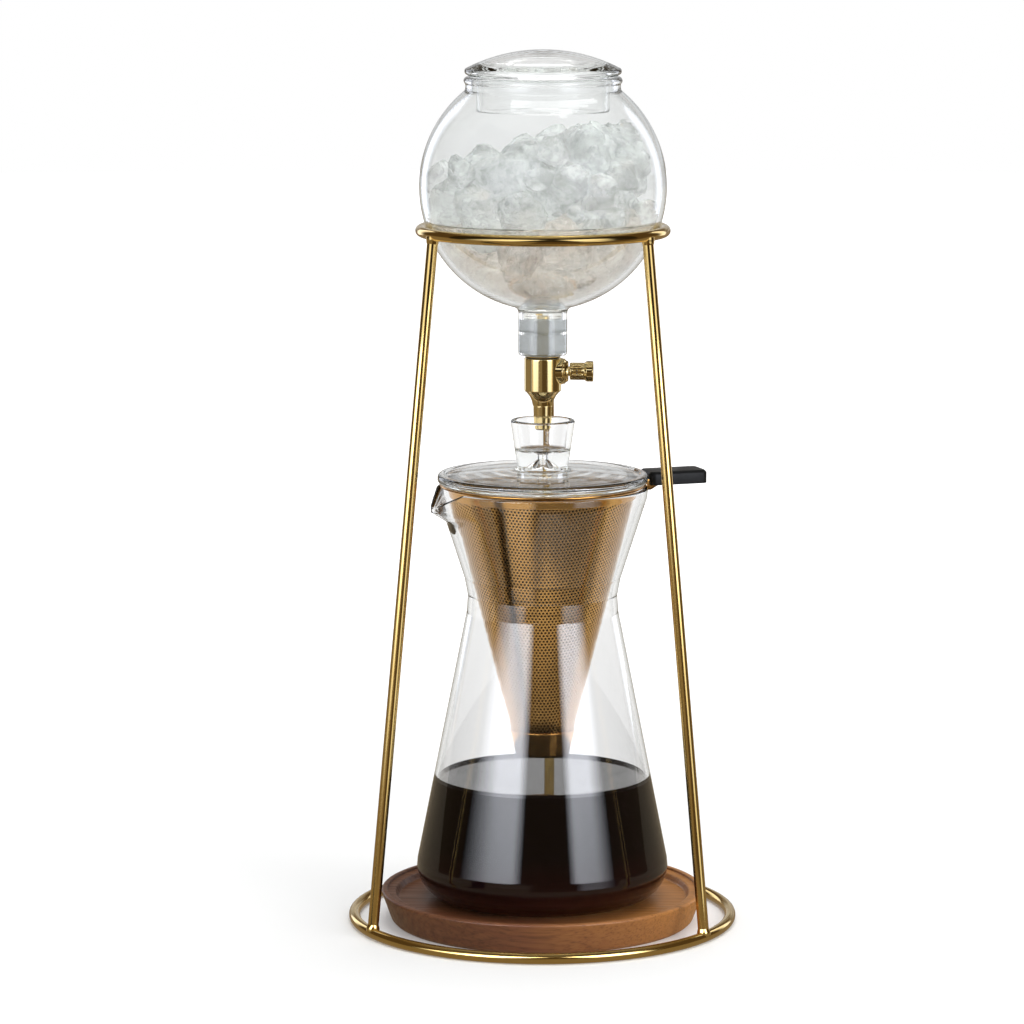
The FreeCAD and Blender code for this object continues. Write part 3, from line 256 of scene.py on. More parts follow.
def ice(name, dull, bright, ior, clearness):
    """Melting ice: glassy skin over a core clouded by trapped air."""
    material, tree = new_material(name)
    cloudiest, clearest = clearness
    cloud = clouds(tree, 13, Detail=6.0, Roughness=0.6, Distortion=0.6)
    ripple = clouds(tree, 2.6, Detail=6.0, Roughness=0.62, Distortion=0.5)
    soft = add(tree, "ValToRGB", [cloud], [(0.35, dull), (0.62, bright)])
    crackle = add(tree, "ValToRGB", [ripple], [(0.4, "#E3E3E4"), (0.5, "#FFFFFF")])
    body = add(tree, "BsdfPrincipled", {
        "Base Color": add(tree, "Mix", [1.0, soft, crackle], data_type="RGBA", blend_type="MULTIPLY"),
        "IOR": ior,
        "Normal": add(tree, "Bump", {"Height": ripple, "Strength": 0.8, "Distance": 1.1 * MM}),
        "Transmission Weight": add(tree, "MapRange", [cloud, 0.42, 0.62, clearest, cloudiest]),
        "Roughness": add(tree, "MapRange", [cloud, 0.42, 0.62, 0.03, 0.25])})
    return finished(material, lets_lamps_through(tree, body))


def melt_water():
    """Cold water round the ice, with a trace of cloudiness."""
    material, tree = new_material("melt_water")
    cloud = clouds(tree, 14, Detail=4.0)
    body = add(tree, "BsdfPrincipled", {
        "Base Color": "#FCFAF7", "IOR": 1.333, "Roughness": 0.0,
        "Transmission Weight": add(tree, "MapRange", [cloud, 0.35, 0.6, 0.86, 1.0])})
    return finished(material, lets_lamps_through(tree, body))


def silicone():
    """Translucent silicone: milky, so the brass tube inside shows only as a soft warm core."""
    material, tree = new_material("translucent_silicone")
    return finished(material, add(tree, "BsdfPrincipled", {
        "Base Color": "#D6D9DC", "Transmission Weight": 0.75, "IOR": 1.41, "Roughness": 0.25}))


def black_rubber():
    """Moulded rubber: matt black."""
    material, tree = new_material("black_rubber")
    grain = clouds(tree, 0.3)
    return finished(material, add(tree, "BsdfPrincipled", {
        "Base Color": "#141414", "Roughness": 0.6,
        "Normal": add(tree, "Bump", {"Height": grain, "Strength": 0.2, "Distance": 0.1 * MM})}))


def moulded_plastic():
    """Black phenolic moulding: spark eroded grain of about 0.4 mm that breaks up the gloss."""
    material, tree = new_material("black_phenolic_moulding")
    grain = clouds(tree, 0.4, Detail=3.0)
    wear = clouds(tree, 7)
    return finished(material, add(tree, "BsdfPrincipled", {
        "Base Color": add(tree, "ValToRGB", [wear], [(0.3, "#0A0B0C"), (0.7, "#121315")]),
        "Specular IOR Level": 0.25,
        "Roughness": add(tree, "MapRange", [wear, 0.3, 0.7, 0.36, 0.5]),
        "Normal": add(tree, "Bump", {"Height": grain, "Strength": 0.25, "Distance": 0.1 * MM})}))


def oiled_wood():
    """Oiled acacia, flat sawn: wavy growth rings 5 mm apart, long open pores, red brown to tan."""
    material, tree = new_material("oiled_acacia")
    ring_width = 5 * MM
    x, y, z = object_axes(tree)
    warp = clouds(tree, (71.4, 26.3, 26.3), Detail=2.0)
    depth = add(tree, "MULTIPLY_ADD", [z, 1.7, y])
    rings = add(tree, "MULTIPLY_ADD", [warp, 55 * MM, depth])
    phase = add(tree, "FRACT", [add(tree, "DIVIDE", [rings, ring_width])])
    band = add(tree, "ValToRGB", [phase], [
        (0.0, "#6B3B26"), (0.35, "#97603D"), (0.8, "#8A5233"), (1.0, "#5C3020")])
    streak = clouds(tree, (38.5, 2.38, 2.38), Detail=5.0, Roughness=0.6)
    tone = add(tree, "ValToRGB", [streak], [(0.3, "#7A452B"), (0.7, "#B27846")])
    grain = add(tree, "Mix", [0.5, band, tone], data_type="RGBA")
    # painted light and shade: dark at the left side, running out to pale at the right, as if light falls
    # from the right
    side = add(tree, "MULTIPLY_ADD", [clouds(tree, (50, 33.3, 33.3)), 40 * MM, x])
    share = add(tree, "MapRange", [side, -40 * MM, 85 * MM, 0.0, 1.0])
    # painted light and shade across the tray from left to right
    painted_side_light = add(tree, "ValToRGB", [share], [(0.0, "#36190B"), (0.45, "#6B4029"), (1.0, "#C98A42")])
    colour = add(tree, "Mix", [0.62, grain, painted_side_light], data_type="RGBA")
    pores = clouds(tree, (16.7, 0.667, 0.667), Detail=2.0)
    pit = add(tree, "MapRange", [pores, 0.3, 0.5, 0.55, 1.0])
    return finished(material, add(tree, "BsdfPrincipled", {
        "Base Color": add(tree, "Mix", [pit, "#3A1E12", colour], data_type="RGBA"),
        "Roughness": add(tree, "MapRange", [streak, 0.3, 0.7, 0.5, 0.36]),
        "Normal": add(tree, "Bump", {"Height": pit, "Strength": 0.25, "Distance": 0.1 * MM})}))


# -------------------------------- outlines
def around(radius, azimuth, height):
    """A place at a radius and an azimuth in radians."""
    return (radius * math.cos(azimuth), radius * math.sin(azimuth), height)


def arc(centre, radius, start, end, steps):
    """Points on a circle from one angle to another, in degrees from the radius direction."""
    angles = [math.radians(start + (end - start) * step / steps) for step in range(steps + 1)]
    return [(centre[0] + radius * math.cos(a), centre[1] + radius * math.sin(a)) for a in angles]


def curve(start, end, radius, steps=8):
    """Points of a short arc between two points; a positive radius bulges to the left."""
    a, b = Vector(start), Vector(end)
    chord = b - a
    side = Vector((-chord.y, chord.x)).normalized() * (-1 if radius > 0 else 1)
    centre = (a + b) / 2 + side * math.sqrt(radius ** 2 - (chord.length / 2) ** 2)
    first = math.atan2(a.y - centre.y, a.x - centre.x)
    turn = math.atan2(b.y - centre.y, b.x - centre.x) - first
    turn = (turn + math.pi) % (2 * math.pi) - math.pi
    return arc(centre, abs(radius), math.degrees(first), math.degrees(first + turn), steps)


def outline(corners, spacing, steps):
    """Rounds the corners of a closed outline and adds points along its straight runs.

    A corner is (radius, height) or (radius, height, rounding); a quarter turn gets this many steps.
    """
    corners = [(Vector(c[:2]), c[2] if len(c) > 2 else 0.0) for c in corners]
    share = 0.48
    points = []
    for index, (corner, rounding) in enumerate(corners):
        before = corners[index - 1][0] - corner
        after = corners[(index + 1) % len(corners)][0] - corner
        turn = math.pi - before.angle(after, 0.0)
        if rounding <= 0 or turn < 0.01:
            points.append(corner)
            continue
        reach = min(rounding * math.tan(turn / 2), share * before.length, share * after.length)
        radius = reach / math.tan(turn / 2)
        middle = (before.normalized() + after.normalized()).normalized()
        centre = corner + middle * (radius / math.cos(turn / 2))
        first = corner + before.normalized() * reach - centre
        last = corner + after.normalized() * reach - centre
        sweep = first.angle_signed(last, 0.0)
        count = max(2, round(steps * turn / (math.pi / 2)))
        for step in range(count + 1):
            angle = -sweep * step / count
            points.append(centre + Vector((first.x * math.cos(angle) - first.y * math.sin(angle),
                                           first.x * math.sin(angle) + first.y * math.cos(angle))))
    return fill_runs(points, spacing)


def fill_runs(points, spacing):
    """Splits long runs, with one point close to each end so that shading stays flat between."""
    filled = []
    edge = 0.25
    for index, point in enumerate(points):
        filled.append(point)
        run = points[(index + 1) % len(points)] - point
        if point.x < 1e-6 and point.x + run.x < 1e-6:
            continue
        if run.length > 4 * edge:
            inner = run.length - 2 * edge
            count = max(1, math.ceil(inner / spacing))
            for step in range(count + 1):
                filled.append(point + run.normalized() * (edge + inner * step / count))
    return filled


# -------------------------------- meshes
def new_object(name, data):
    """An object at the origin of the scene."""
    item = bpy.data.objects.new(name, data)
    bpy.context.scene.collection.objects.link(item)
    return item


def to_mesh(bm, name):
    """Ends a bmesh as a mesh."""
    mesh = bpy.data.meshes.new(name)
    bm.to_mesh(mesh)
    bm.free()
    return mesh


def joined(name, meshes):
    """One mesh of several loose ones."""
    bm = bmesh.new()
    for mesh in meshes:
        bm.from_mesh(mesh)
        bpy.data.meshes.remove(mesh)
    return to_mesh(bm, name)


def smooth(mesh, sharp=50):
    """Smooth shading except over edges sharper than this many degrees."""
    mesh.shade_smooth()
    mesh.set_sharp_from_angle(angle=math.radians(sharp))
    return mesh


def new_piece(name, mesh, finish, body, *nodes):
    """Makes a mesh a piece that rides on a body and replaces CAD nodes; finish is material and slot, and
    the slot is not used.
    """
    material, slot = finish
    piece = new_object(name, mesh)
    dress(mesh, material)
    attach(piece, body)
    if nodes:
        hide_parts(*nodes)


def dress(mesh, material):
    """Gives a mesh its only material."""
    mesh.materials.clear()
    mesh.materials.append(material)


def turned_mesh(name, corners, spacing=2.0, steps=5, segments=160, along_x=False, shape=None):
    """Turns a closed outline about Z, or about the needle's axis.

    shape moves a point: it takes radius, height and azimuth and returns radius and height.
    """
    points = outline(corners, spacing, steps)
    bm = bmesh.new()
    columns = []
    poles = {}
    for segment in range(segments):
        azimuth = 2 * math.pi * segment / segments
        column = []
        for index, (radius, height) in enumerate(points):
            if radius < 1e-6:
                if index not in poles:
                    poles[index] = bm.verts.new((0, 0, height))
                column.append(poles[index])
                continue
            if shape:
                radius, height = shape(radius, height, azimuth)
            column.append(bm.verts.new(around(radius, azimuth, height)))
        columns.append(column)
    for segment, column in enumerate(columns):
        following = columns[(segment + 1) % segments]
        for index in range(len(points)):
            further = (index + 1) % len(points)
            face = dict.fromkeys([column[index], following[index], following[further], column[further]])
            if len(face) > 2:
                bm.faces.new(list(face))
    bmesh.ops.recalc_face_normals(bm, faces=bm.faces)
    turn = Matrix.Identity(4)
    if along_x:
        turn = Matrix.Translation((0, 0, NEEDLE_HEIGHT)) @ Matrix.Rotation(math.radians(90), 4, "Y")
    bmesh.ops.transform(bm, matrix=Matrix.Scale(MM, 4) @ turn, verts=bm.verts)
    return smooth(to_mesh(bm, name))


def turned_piece(name, corners, finish, body, *nodes, **turning):
    """A piece turned from one outline."""
    new_piece(name, turned_mesh(name, corners, **turning), finish, body, *nodes)


def modified(name, mesh, kind, inputs=None, **settings):
    """The mesh that one modifier makes of a mesh; inputs are those of its node tree, by name."""
    blank = new_object(name, mesh)
    modifier = blank.modifiers.new(name, kind)
    for key, value in settings.items():
        setattr(modifier, key, value)
    if inputs:
        for item in modifier.node_group.interface.items_tree:
            if item.in_out == "INPUT" and item.name in inputs:
                modifier[item.identifier] = inputs[item.name]
    depsgraph = bpy.context.evaluated_depsgraph_get()
    depsgraph.update()
    result = bpy.data.meshes.new_from_object(blank.evaluated_get(depsgraph))
    blank.modifiers.clear()
    bpy.data.objects.remove(blank)
    bpy.data.meshes.remove(mesh)
    result.name = name
    return result


def union(name, first, second):
    """One closed mesh from two that pass through each other."""
    other = new_object(f"{name}_other", second)
    mesh = modified(name, first, "BOOLEAN", operation="UNION", solver="EXACT", object=other)
    bpy.data.objects.remove(other)
    return smooth(mesh, 30)


def refined_copy(node, bevel, segments=3):
    """A CAD node's shape with its triangles merged to faces and its edges eased."""
    bm = bmesh.new()
    bm.from_mesh(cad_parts[node].data)
    bmesh.ops.remove_doubles(bm, verts=bm.verts, dist=0.005 * MM)
    bmesh.ops.dissolve_limit(bm, angle_limit=math.radians(1), verts=bm.verts, edges=bm.edges)
    mesh = modified(f"{node}_eased", to_mesh(bm, f"{node}_merged"), "BEVEL", width=bevel * MM,
                    segments=segments, limit_method="ANGLE", angle_limit=math.radians(35))
    return smooth(mesh, 30)


# -------------------------------- geometry node trees
def node_tree(name, sockets):
    """A geometry node tree and its named inputs."""
    tree = bpy.data.node_groups.new(name, "GeometryNodeTree")
    tree.interface.new_socket("Geometry", in_out="OUTPUT", socket_type="NodeSocketGeometry")
    for label, kind in sockets.items():
        tree.interface.new_socket(label, in_out="INPUT", socket_type=f"NodeSocket{kind}")
    return tree, add(tree, "NodeGroupInput").outputs


def end_tree(tree, geometry, material):
    """Ends a tree in plain geometry that has its material."""
    whole = add(tree, "GeometryNodeRealizeInstances", [geometry])
    dressed = add(tree, "GeometryNodeSetMaterial", {"Geometry": whole, "Material": material})
    add(tree, "NodeGroupOutput", [dressed])
    return tree


def wire_tree():
    """Round wire swept along a line of points."""
    tree, given = node_tree("round_wire", {
        "Path": "Geometry", "Radius": "Float", "Sides": "Int", "Finish": "Material"})
    line = add(tree, "GeometryNodeMeshToCurve", {"Mesh": given["Path"]})
    section = add(tree, "GeometryNodeCurvePrimitiveCircle", {
        "Radius": given["Radius"], "Resolution": given["Sides"]})
    wire = add(tree, "GeometryNodeCurveToMesh", {
        "Curve": line, "Profile Curve": section, "Fill Caps": True})
    return end_tree(tree, wire, given["Finish"])


def perforated_tree():
    """A cone of sheet with hexagonally spaced holes, rolled from a flat blank.

    The blank's apex is at its origin. A cell is a ring of six faces round one hole.
    """
    tree, given = node_tree("perforated_cone", {
        "Pitch": "Float", "Hole radius": "Float", "Half angle": "Float", "Slant from": "Float",
        "Slant to": "Float", "Apex height": "Float", "Front azimuth": "Float", "Columns": "Int",
        "Rows": "Int", "Finish": "Material"})
    pitch, half_angle = given["Pitch"], given["Half angle"]
    # lattice of cell centres; every second column is moved by half a pitch
    step_x = add(tree, "MULTIPLY", [pitch, math.sqrt(3) / 2])
    size_x = add(tree, "MULTIPLY", [step_x, add(tree, "SUBTRACT", [given["Columns"], 1.0])])
    size_y = add(tree, "MULTIPLY", [pitch, add(tree, "SUBTRACT", [given["Rows"], 1.0])])
    grid = add(tree, "GeometryNodeMeshGrid", {
        "Size X": size_x, "Size Y": size_y, "Vertices X": given["Columns"], "Vertices Y": given["Rows"]})
    x, y, _ = add(tree, "SeparateXYZ", [add(tree, "GeometryNodeInputPosition")]).outputs
    along = add(tree, "MULTIPLY_ADD", [size_x, 0.5, x])
    column = add(tree, "ROUND", [add(tree, "DIVIDE", [along, step_x])])
    shift = add(tree, "MULTIPLY", [add(tree, "MODULO", [column, 2.0]), pitch])
    centre = add(tree, "CombineXYZ", [
        add(tree, "SUBTRACT", [add(tree, "ADD", [along, given["Slant to"]]), size_x]),
        add(tree, "MULTIPLY_ADD", [shift, 0.5, y])])
    lattice = add(tree, "GeometryNodeSetPosition", {"Geometry": grid, "Position": centre})
    # only the cells on the blank stay; x and y are the moved points' from here on
    sine = add(tree, "SINE", [half_angle])
    slant = add(tree, "SQRT", [add(tree, "MULTIPLY_ADD", [x, x, add(tree, "MULTIPLY", [y, y])])])
    bearing = add(tree, "ARCTAN2", [y, x])
    too_near = add(tree, "LESS_THAN", [slant, given["Slant from"]])
    too_far = add(tree, "GREATER_THAN", [slant, given["Slant to"]])
    seam = add(tree, "MULTIPLY", [sine, math.pi])
    past_seam = add(tree, "GREATER_THAN", [add(tree, "ABSOLUTE", [bearing]), seam])
    outside = add(tree, "ADD", [add(tree, "ADD", [too_near, too_far]), past_seam])
    kept = add(tree, "GeometryNodeDeleteGeometry", [lattice, outside], domain="POINT")
    cell = add(tree, "GeometryNodeMeshCone", {
        "Vertices": 6, "Radius Top": given["Hole radius"], "Depth": 0.0,
        "Radius Bottom": add(tree, "DIVIDE", [pitch, math.sqrt(3)])}, fill_type="NONE")
    copies = add(tree, "GeometryNodeInstanceOnPoints", {"Points": kept, "Instance": cell})
    blank = add(tree, "GeometryNodeMergeByDistance", {
        "Geometry": add(tree, "GeometryNodeRealizeInstances", [copies]), "Distance": 0.02 * MM})
    # the blank rolled up: distance from its origin is the slant, bearing is azimuth times the sine
    azimuth = add(tree, "ADD", [add(tree, "DIVIDE", [bearing, sine]), given["Front azimuth"]])
    radius = add(tree, "MULTIPLY", [slant, sine])
    rolled = add(tree, "CombineXYZ", [
        add(tree, "MULTIPLY", [radius, add(tree, "COSINE", [azimuth])]),
        add(tree, "MULTIPLY", [radius, add(tree, "SINE", [azimuth])]),
        add(tree, "MULTIPLY_ADD", [slant, add(tree, "COSINE", [half_angle]), given["Apex height"]])])
    cone = add(tree, "GeometryNodeSetPosition", {"Geometry": blank, "Position": rolled})
    outward = add(tree, "GeometryNodeFlipFaces", [cone])
    return end_tree(tree, add(tree, "GeometryNodeSetShadeSmooth", [outward]), given["Finish"])


# -------------------------------- stand
def make_stand(brass):
    """Rings and legs of wire, and a weld at each end of a leg."""
    tree = wire_tree()

    def make_wire(name, places, closed):
        """One wire through places in millimetres."""
        path = bpy.data.meshes.new("path")
        last = len(places) if closed else len(places) - 1
        edges = [(index, (index + 1) % len(places)) for index in range(last)]
        path.from_pydata([Vector(place) * MM for place in places], edges, [])
        mesh = modified(f"wire_{name}", path, "NODES", node_group=tree,
                        inputs={"Radius": WIRE * MM, "Sides": 40, "Finish": brass[0]})
        new_piece(f"wire_{name}", smooth(mesh), brass, "stand", f"stand_{name}")

    for name, radius, height in (("base_ring", BASE_RING, WIRE), ("top_ring", TOP_RING, TOP_RING_HEIGHT)):
        make_wire(name, [(x, y, height) for x, y in arc((0, 0), radius, 0, 360, 240)[:-1]], True)
    for side, azimuth in LEG_AZIMUTHS.items():
        turn = Matrix.Rotation(math.radians(azimuth), 4, "Z")
        foot, head = (turn @ Vector(p) for p in ((BASE_RING, 0, WIRE), (TOP_RING, 0, TOP_RING_HEIGHT)))
        make_wire(f"leg_{side}", [foot, head], False)
    lean = math.atan2(BASE_RING - TOP_RING, TOP_RING_HEIGHT - WIRE)
    make_welds(brass, "base", (BASE_RING * MM, 0, WIRE * MM), -lean)
    make_welds(brass, "top", (TOP_RING * MM, 0, TOP_RING_HEIGHT * MM), math.pi - lean)


def make_welds(brass, level, place, tilt):
    """A small hollow fillet of weld metal round each leg's end, a little uneven."""
    near, far = 0.6, 3.4
    flare = curve((WIRE + 0.5, near), (WIRE + 0.04, far), -7.0, 6)
    beads = []
    for azimuth in LEG_AZIMUTHS.values():
        bead = turned_mesh("bead", [(0, near)] + flare + [(0, far)], spacing=0.6, segments=32)
        bead.transform(Matrix.Rotation(math.radians(azimuth), 4, "Z") @ Matrix.Translation(place)
                       @ Matrix.Rotation(tilt, 4, "Y"))
        beads.append(bead)
    mesh = joined(f"weld_beads_{level}", beads)
    lumpiness, lump_size = 0.12 * MM, 1.4 * MM
    for vertex in mesh.vertices:
        vertex.co += noise.noise_vector(vertex.co / lump_size) * lumpiness
    new_piece(f"weld_beads_{level}", smooth(mesh), brass, "stand", f"stand_welds_{level}")


# -------------------------------- tray
def make_tray(wood):
    """Turned tray with soft edges, a step inside the rim and a shallow recess."""
    rim, step, recess = 12.6, 11.5, 9.0
    turned_piece("turned_tray", [
        (0, 0), (59.0, 0, 0.6), (60.2, 1.2, 0.8), (64.35, rim, 1.7), (61.6, rim, 0.5), (61.6, step, 0.35),
        (58.4, step, 0.8), (57.2, recess, 0.9), (0, recess)], wood, "tray", "wooden_tray", spacing=4.0)


# -------------------------------- carafe
def funnel_radius(height):
    """Outside radius of the carafe above its waist."""
    lower, upper = (WAIST, FUNNEL_TOP) if height < FUNNEL_TOP[1] else (FUNNEL_TOP, RIM)
    return lower[0] + (height - lower[1]) * (upper[0] - lower[0]) / (upper[1] - lower[1])


def beak_shape(radius, height, azimuth):
    """Draws the wall out to a beak: at each height the section is the round and its tangents to a tip."""
    start, keel_start, keel_end = 159.0, 160.5, 165.6
    reach, lip_start, lip_dip = 47.5, 38.9, 7.2
    softness, tip_thinning, dip_growth = 0.05, 0.6, 1.4
    if height < start:
        return radius, height
    wall = max(funnel_radius(height) - radius, 0.0)
    away = azimuth - math.radians(SERVING_AZIMUTH + 180)
    away = (away + math.pi) % (2 * math.pi) - math.pi
    away = math.sqrt(away ** 2 + softness ** 2)

    def drawn(level):
        """Radius of the drawn wall at a level."""
        round_radius = funnel_radius(level) - wall
        rise = min(max((level - keel_start) / (keel_end - keel_start), 0.0), 1.0)
        keel = funnel_radius(keel_start)
        tip = keel + rise * (reach - keel) - tip_thinning * wall
        if tip <= round_radius:
            return round_radius
        opening = math.acos(round_radius / tip)
        return round_radius / math.cos(opening - away) if away < opening else round_radius

    full = drawn(RIM[1] - 2.0)
    dip = max(full * math.cos(away) - lip_start + wall, 0.0) * lip_dip / (reach - lip_start)
    level = height - dip * ((height - start) / (RIM[1] - start)) ** dip_growth
    return drawn(level), level


def make_carafe(clear, coffee, open_coffee):
    """Waisted carafe with a fire polished rim and a beak, and the coffee in it."""
    polish = 0.97
    turned_piece("glass_carafe", [
        (0, 10.1), (17, BASE[1], 4), (*BASE, 13), (*WAIST, 27), (*FUNNEL_TOP, 8), (*RIM, polish),
        (RIM[0] - GLASS, RIM[1], polish), (FUNNEL_TOP[0] - GLASS, FUNNEL_TOP[1], 8),
        (WAIST[0] - GLASS, WAIST[1], 29), (BASE[0] - GLASS, CARAFE_FLOOR, 11), (0, CARAFE_FLOOR)],
        clear, "carafe", "carafe", steps=7, segments=192, shape=beak_shape)
    # coffee wets the wall and climbs it a little; it runs just into the glass, so no air is between
    overlap = 0.06
    foot = CARAFE_FLOOR - overlap
    slope = (BASE[0] - WAIST[0]) / (WAIST[1] - CARAFE_FLOOR)

    def wall(height):
        """A point on the wetted wall."""
        return (BASE[0] - GLASS + overlap - (height - CARAFE_FLOOR) * slope, height)

    climb, width = 1.1, 1.6
    skin = COFFEE_LEVEL - 0.3
    turned_piece("brewed_coffee", [(0, foot), (*wall(foot), 11), wall(skin), (0, skin)],
                 coffee, "carafe", spacing=3.0, steps=7)
    meniscus = curve(wall(COFFEE_LEVEL + climb), (wall(COFFEE_LEVEL)[0] - width, COFFEE_LEVEL), -2.2, 6)
    turned_piece("coffee_surface", [(0, skin), wall(skin)] + meniscus + [(0, COFFEE_LEVEL)],
                 open_coffee, "carafe", spacing=3.0, steps=7)


def make_carafe_lid(clear):
    """Domed plate with a beaded edge and locating ring; the drip cup on top is its knob."""
    dome_radius = 279

    def dome(top, *radii):
        """Points of the domed plate."""
        return [(radius, top - radius ** 2 / (2 * dome_radius)) for radius in radii]

    ring_foot, edge_foot, edge_top, cup_rim = 173.2, 175.6, 179.1, 200.4
    turned_piece("glass_carafe_lid", [(1.5, 185.6, 0.4)] + dome(178.68, 7.4, 14, 20, 27, 33.0) + [
        (33.7, 176.5, 0.6), (33.7, ring_foot, 0.7), (35.3, ring_foot, 0.7), (35.3, 176.05, 0.5),
        (38.2, 175.9, 0.5), (39.0, edge_foot, 0.6), (41.35, edge_foot, 1.7), (41.35, edge_top, 1.7),
        (38.6, edge_top, 1.0), (38.0, 178.4, 0.8)] + dome(181.0, 37.2, 31, 25, 19, 13.4) + [
        (9.85, 180.75, 1.4), (12.75, cup_rim, 1.0), (10.65, cup_rim, 1.0), (8.85, 188.9, 1.3),
        (7.4, 188.2, 0.9), (1.5, 187.7, 0.4)], clear, "carafe_lid", "carafe_lid", steps=6)


# -------------------------------- filter
def cone_radius(height, inset=0.0):
    """Outside radius of the outer cone at a height, less an inset."""
    return (height - CONE_APEX) * CONE_SLOPE - inset


def make_filter(gold, cloth):
    """Perforated outer cone, woven inner cone, flange with its plain band, and the cap."""
    band_foot, cap_rim, play = 170.1, 77.1, -0.05
    make_perforated_cone(gold, cap_rim - 0.9, band_foot + 0.9)
    make_seam(gold, band_foot + 0.5, cap_rim - 0.5)

    def on_cone(height, inset, *rounding):
        """A corner at the cone's outside less an inset."""
        return (cone_radius(height, inset), height, *rounding)

    inset, sheet = 0.65, 0.35
    foot, top = CONE_FOOT[1] + inset, 174.2
    turned_piece("woven_cone", [
        (0, foot), on_cone(foot, inset), on_cone(top, inset), on_cone(top, inset + sheet),
        on_cone(foot + sheet, inset + sheet), (0, foot + sheet)],
        cloth, "filter", "filter_inner_cone", spacing=6.0, segments=128)
    collar, flange_foot, flange_top = 0.6, 174.3, 175.1
    turned_piece("filter_flange", [
        on_cone(band_foot, play, 0.1), on_cone(band_foot, play - collar, 0.2),
        on_cone(173.6, play - collar, 0.6), (38.6, flange_foot, 0.4), (40.6, flange_foot, 0.35),
        (40.6, flange_top, 0.35), (36.1, flange_top, 0.3), (36.1, flange_foot + 0.03, 0.1),
        (cone_radius(flange_foot, play), flange_foot + 0.03)], gold, "filter", "filter_rim")
    cap_foot, cap_floor = 66.87, 67.87
    turned_piece("filter_cap", [
        (0, cap_foot), (10.73, cap_foot, 1.4), on_cone(cap_rim, -0.53, 0.2), on_cone(cap_rim, play, 0.1),
        (cone_radius(CONE_FOOT[1], play), cap_floor), (0, cap_floor)],
        gold, "filter", "filter_bottom_cap", segments=128)


def make_perforated_cone(gold, foot, top):
    """The perforated sheet; its holes are drawn at 1.4 mm pitch, coarser than life, so that they show."""
    pitch, hole_share = 1.4, 0.34
    half_angle = math.atan(CONE_SLOPE)
    near, far = ((height - CONE_APEX) / math.cos(half_angle) for height in (foot, top))
    half_blank = math.pi * math.sin(half_angle)
    widest = 2 * far * math.sin(half_blank)
    deepest = far - near * math.cos(half_blank)
    empty = bpy.data.meshes.new("empty")
    mesh = modified("perforated_cone", empty, "NODES", node_group=perforated_tree(), inputs={
        "Pitch": pitch * MM, "Hole radius": hole_share * pitch * MM, "Half angle": half_angle,
        "Slant from": near * MM, "Slant to": far * MM, "Apex height": CONE_APEX * MM,
        "Front azimuth": math.radians(-90), "Rows": math.ceil(widest / pitch) + 4,
        "Columns": math.ceil(deepest * 2 / math.sqrt(3) / pitch) + 2, "Finish": gold[0]})
    new_piece("perforated_cone", mesh, gold, "filter", "filter_outer_cone")


def make_seam(gold, top, foot):
    """The plain lap where the perforated blank meets itself, at the back of the cone."""
    half_width, proud, sheet = 1.5, 0.12, 0.2
    shares = (-1.0, -0.5, 0.0, 0.5, 1.0)
    section = [(share, 0.0) for share in shares] + [(share, sheet) for share in reversed(shares)]
    bm = bmesh.new()
    rows = []
    for height in (top, foot):
        radius = cone_radius(height, -proud)
        turn = half_width / radius
        places = [around(radius - depth, math.pi / 2 + turn * share, height) for share, depth in section]
        rows.append([bm.verts.new(Vector(place) * MM) for place in places])
        bm.faces.new(rows[-1])
    for index in range(len(section)):
        further = (index + 1) % len(section)
        bm.faces.new([rows[0][index], rows[0][further], rows[1][further], rows[1][index]])
    bmesh.ops.recalc_face_normals(bm, faces=bm.faces)
    new_piece("cone_seam", smooth(to_mesh(bm, "cone_seam"), 40), gold, "filter")


def make_handle(gold, plastic, steel):
    """Sheet steel bracket in a moulded grip, held by two screws from below."""
    new_piece("bracket_channel", refined_copy("handle_bracket", 0.22), gold, "filter", "handle_bracket")
    new_piece("moulded_grip", refined_copy("handle_grip", 0.45, 4), plastic, "filter", "handle_grip")
    dress(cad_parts["grip_screws"].data, steel)


# -------------------------------- globe
def sphere_fillet(line, sphere, radius, side, steps=8):
    """Fillet between an upright wall and a sphere round the globe's centre, from wall to sphere.

    Returns its points and the angle of the sphere where it ends.
    """
    across = line + radius
    rise = side * math.sqrt((sphere + radius) ** 2 - across ** 2)
    end = math.degrees(math.atan2(-rise, -across)) % 360
    points = arc((across, GLOBE_HEIGHT + rise), radius, 180, end, steps)
    return points, math.degrees(math.atan2(rise, across))


def make_globe(clear):
    """Blown globe: outlet neck below, rolled bead at the mouth above."""
    centre, neck_foot = (0, GLOBE_HEIGHT), 225.9
    low_outer, low_angle = sphere_fillet(NECK_OUTSIDE, GLOBE_OUTSIDE, 2.6, -1)
    high_outer, high_angle = sphere_fillet(MOUTH_OUTSIDE, GLOBE_OUTSIDE, 1.6, 1)
    high_inner, inner_high_angle = sphere_fillet(MOUTH_BORE, GLOBE_INSIDE, 2.0, 1)
    low_inner, inner_low_angle = sphere_fillet(NECK_BORE, GLOBE_INSIDE, 2.0, -1)
    bead = arc((29.3, 333.0), 1.55, -50, 170, 12)
    turned_piece(
        "glass_globe", [(NECK_BORE, neck_foot, 0.8), (NECK_OUTSIDE, neck_foot, 0.9)] + low_outer
        + arc(centre, GLOBE_OUTSIDE, low_angle, high_angle, 64)[1:-1] + high_outer[::-1]
        + [(MOUTH_OUTSIDE, 331.7)] + bead + [(MOUTH_BORE, 332.2)] + high_inner
        + arc(centre, GLOBE_INSIDE, inner_high_angle, inner_low_angle, 64)[1:-1] + low_inner[::-1],
        clear, "globe", "globe", segments=192)


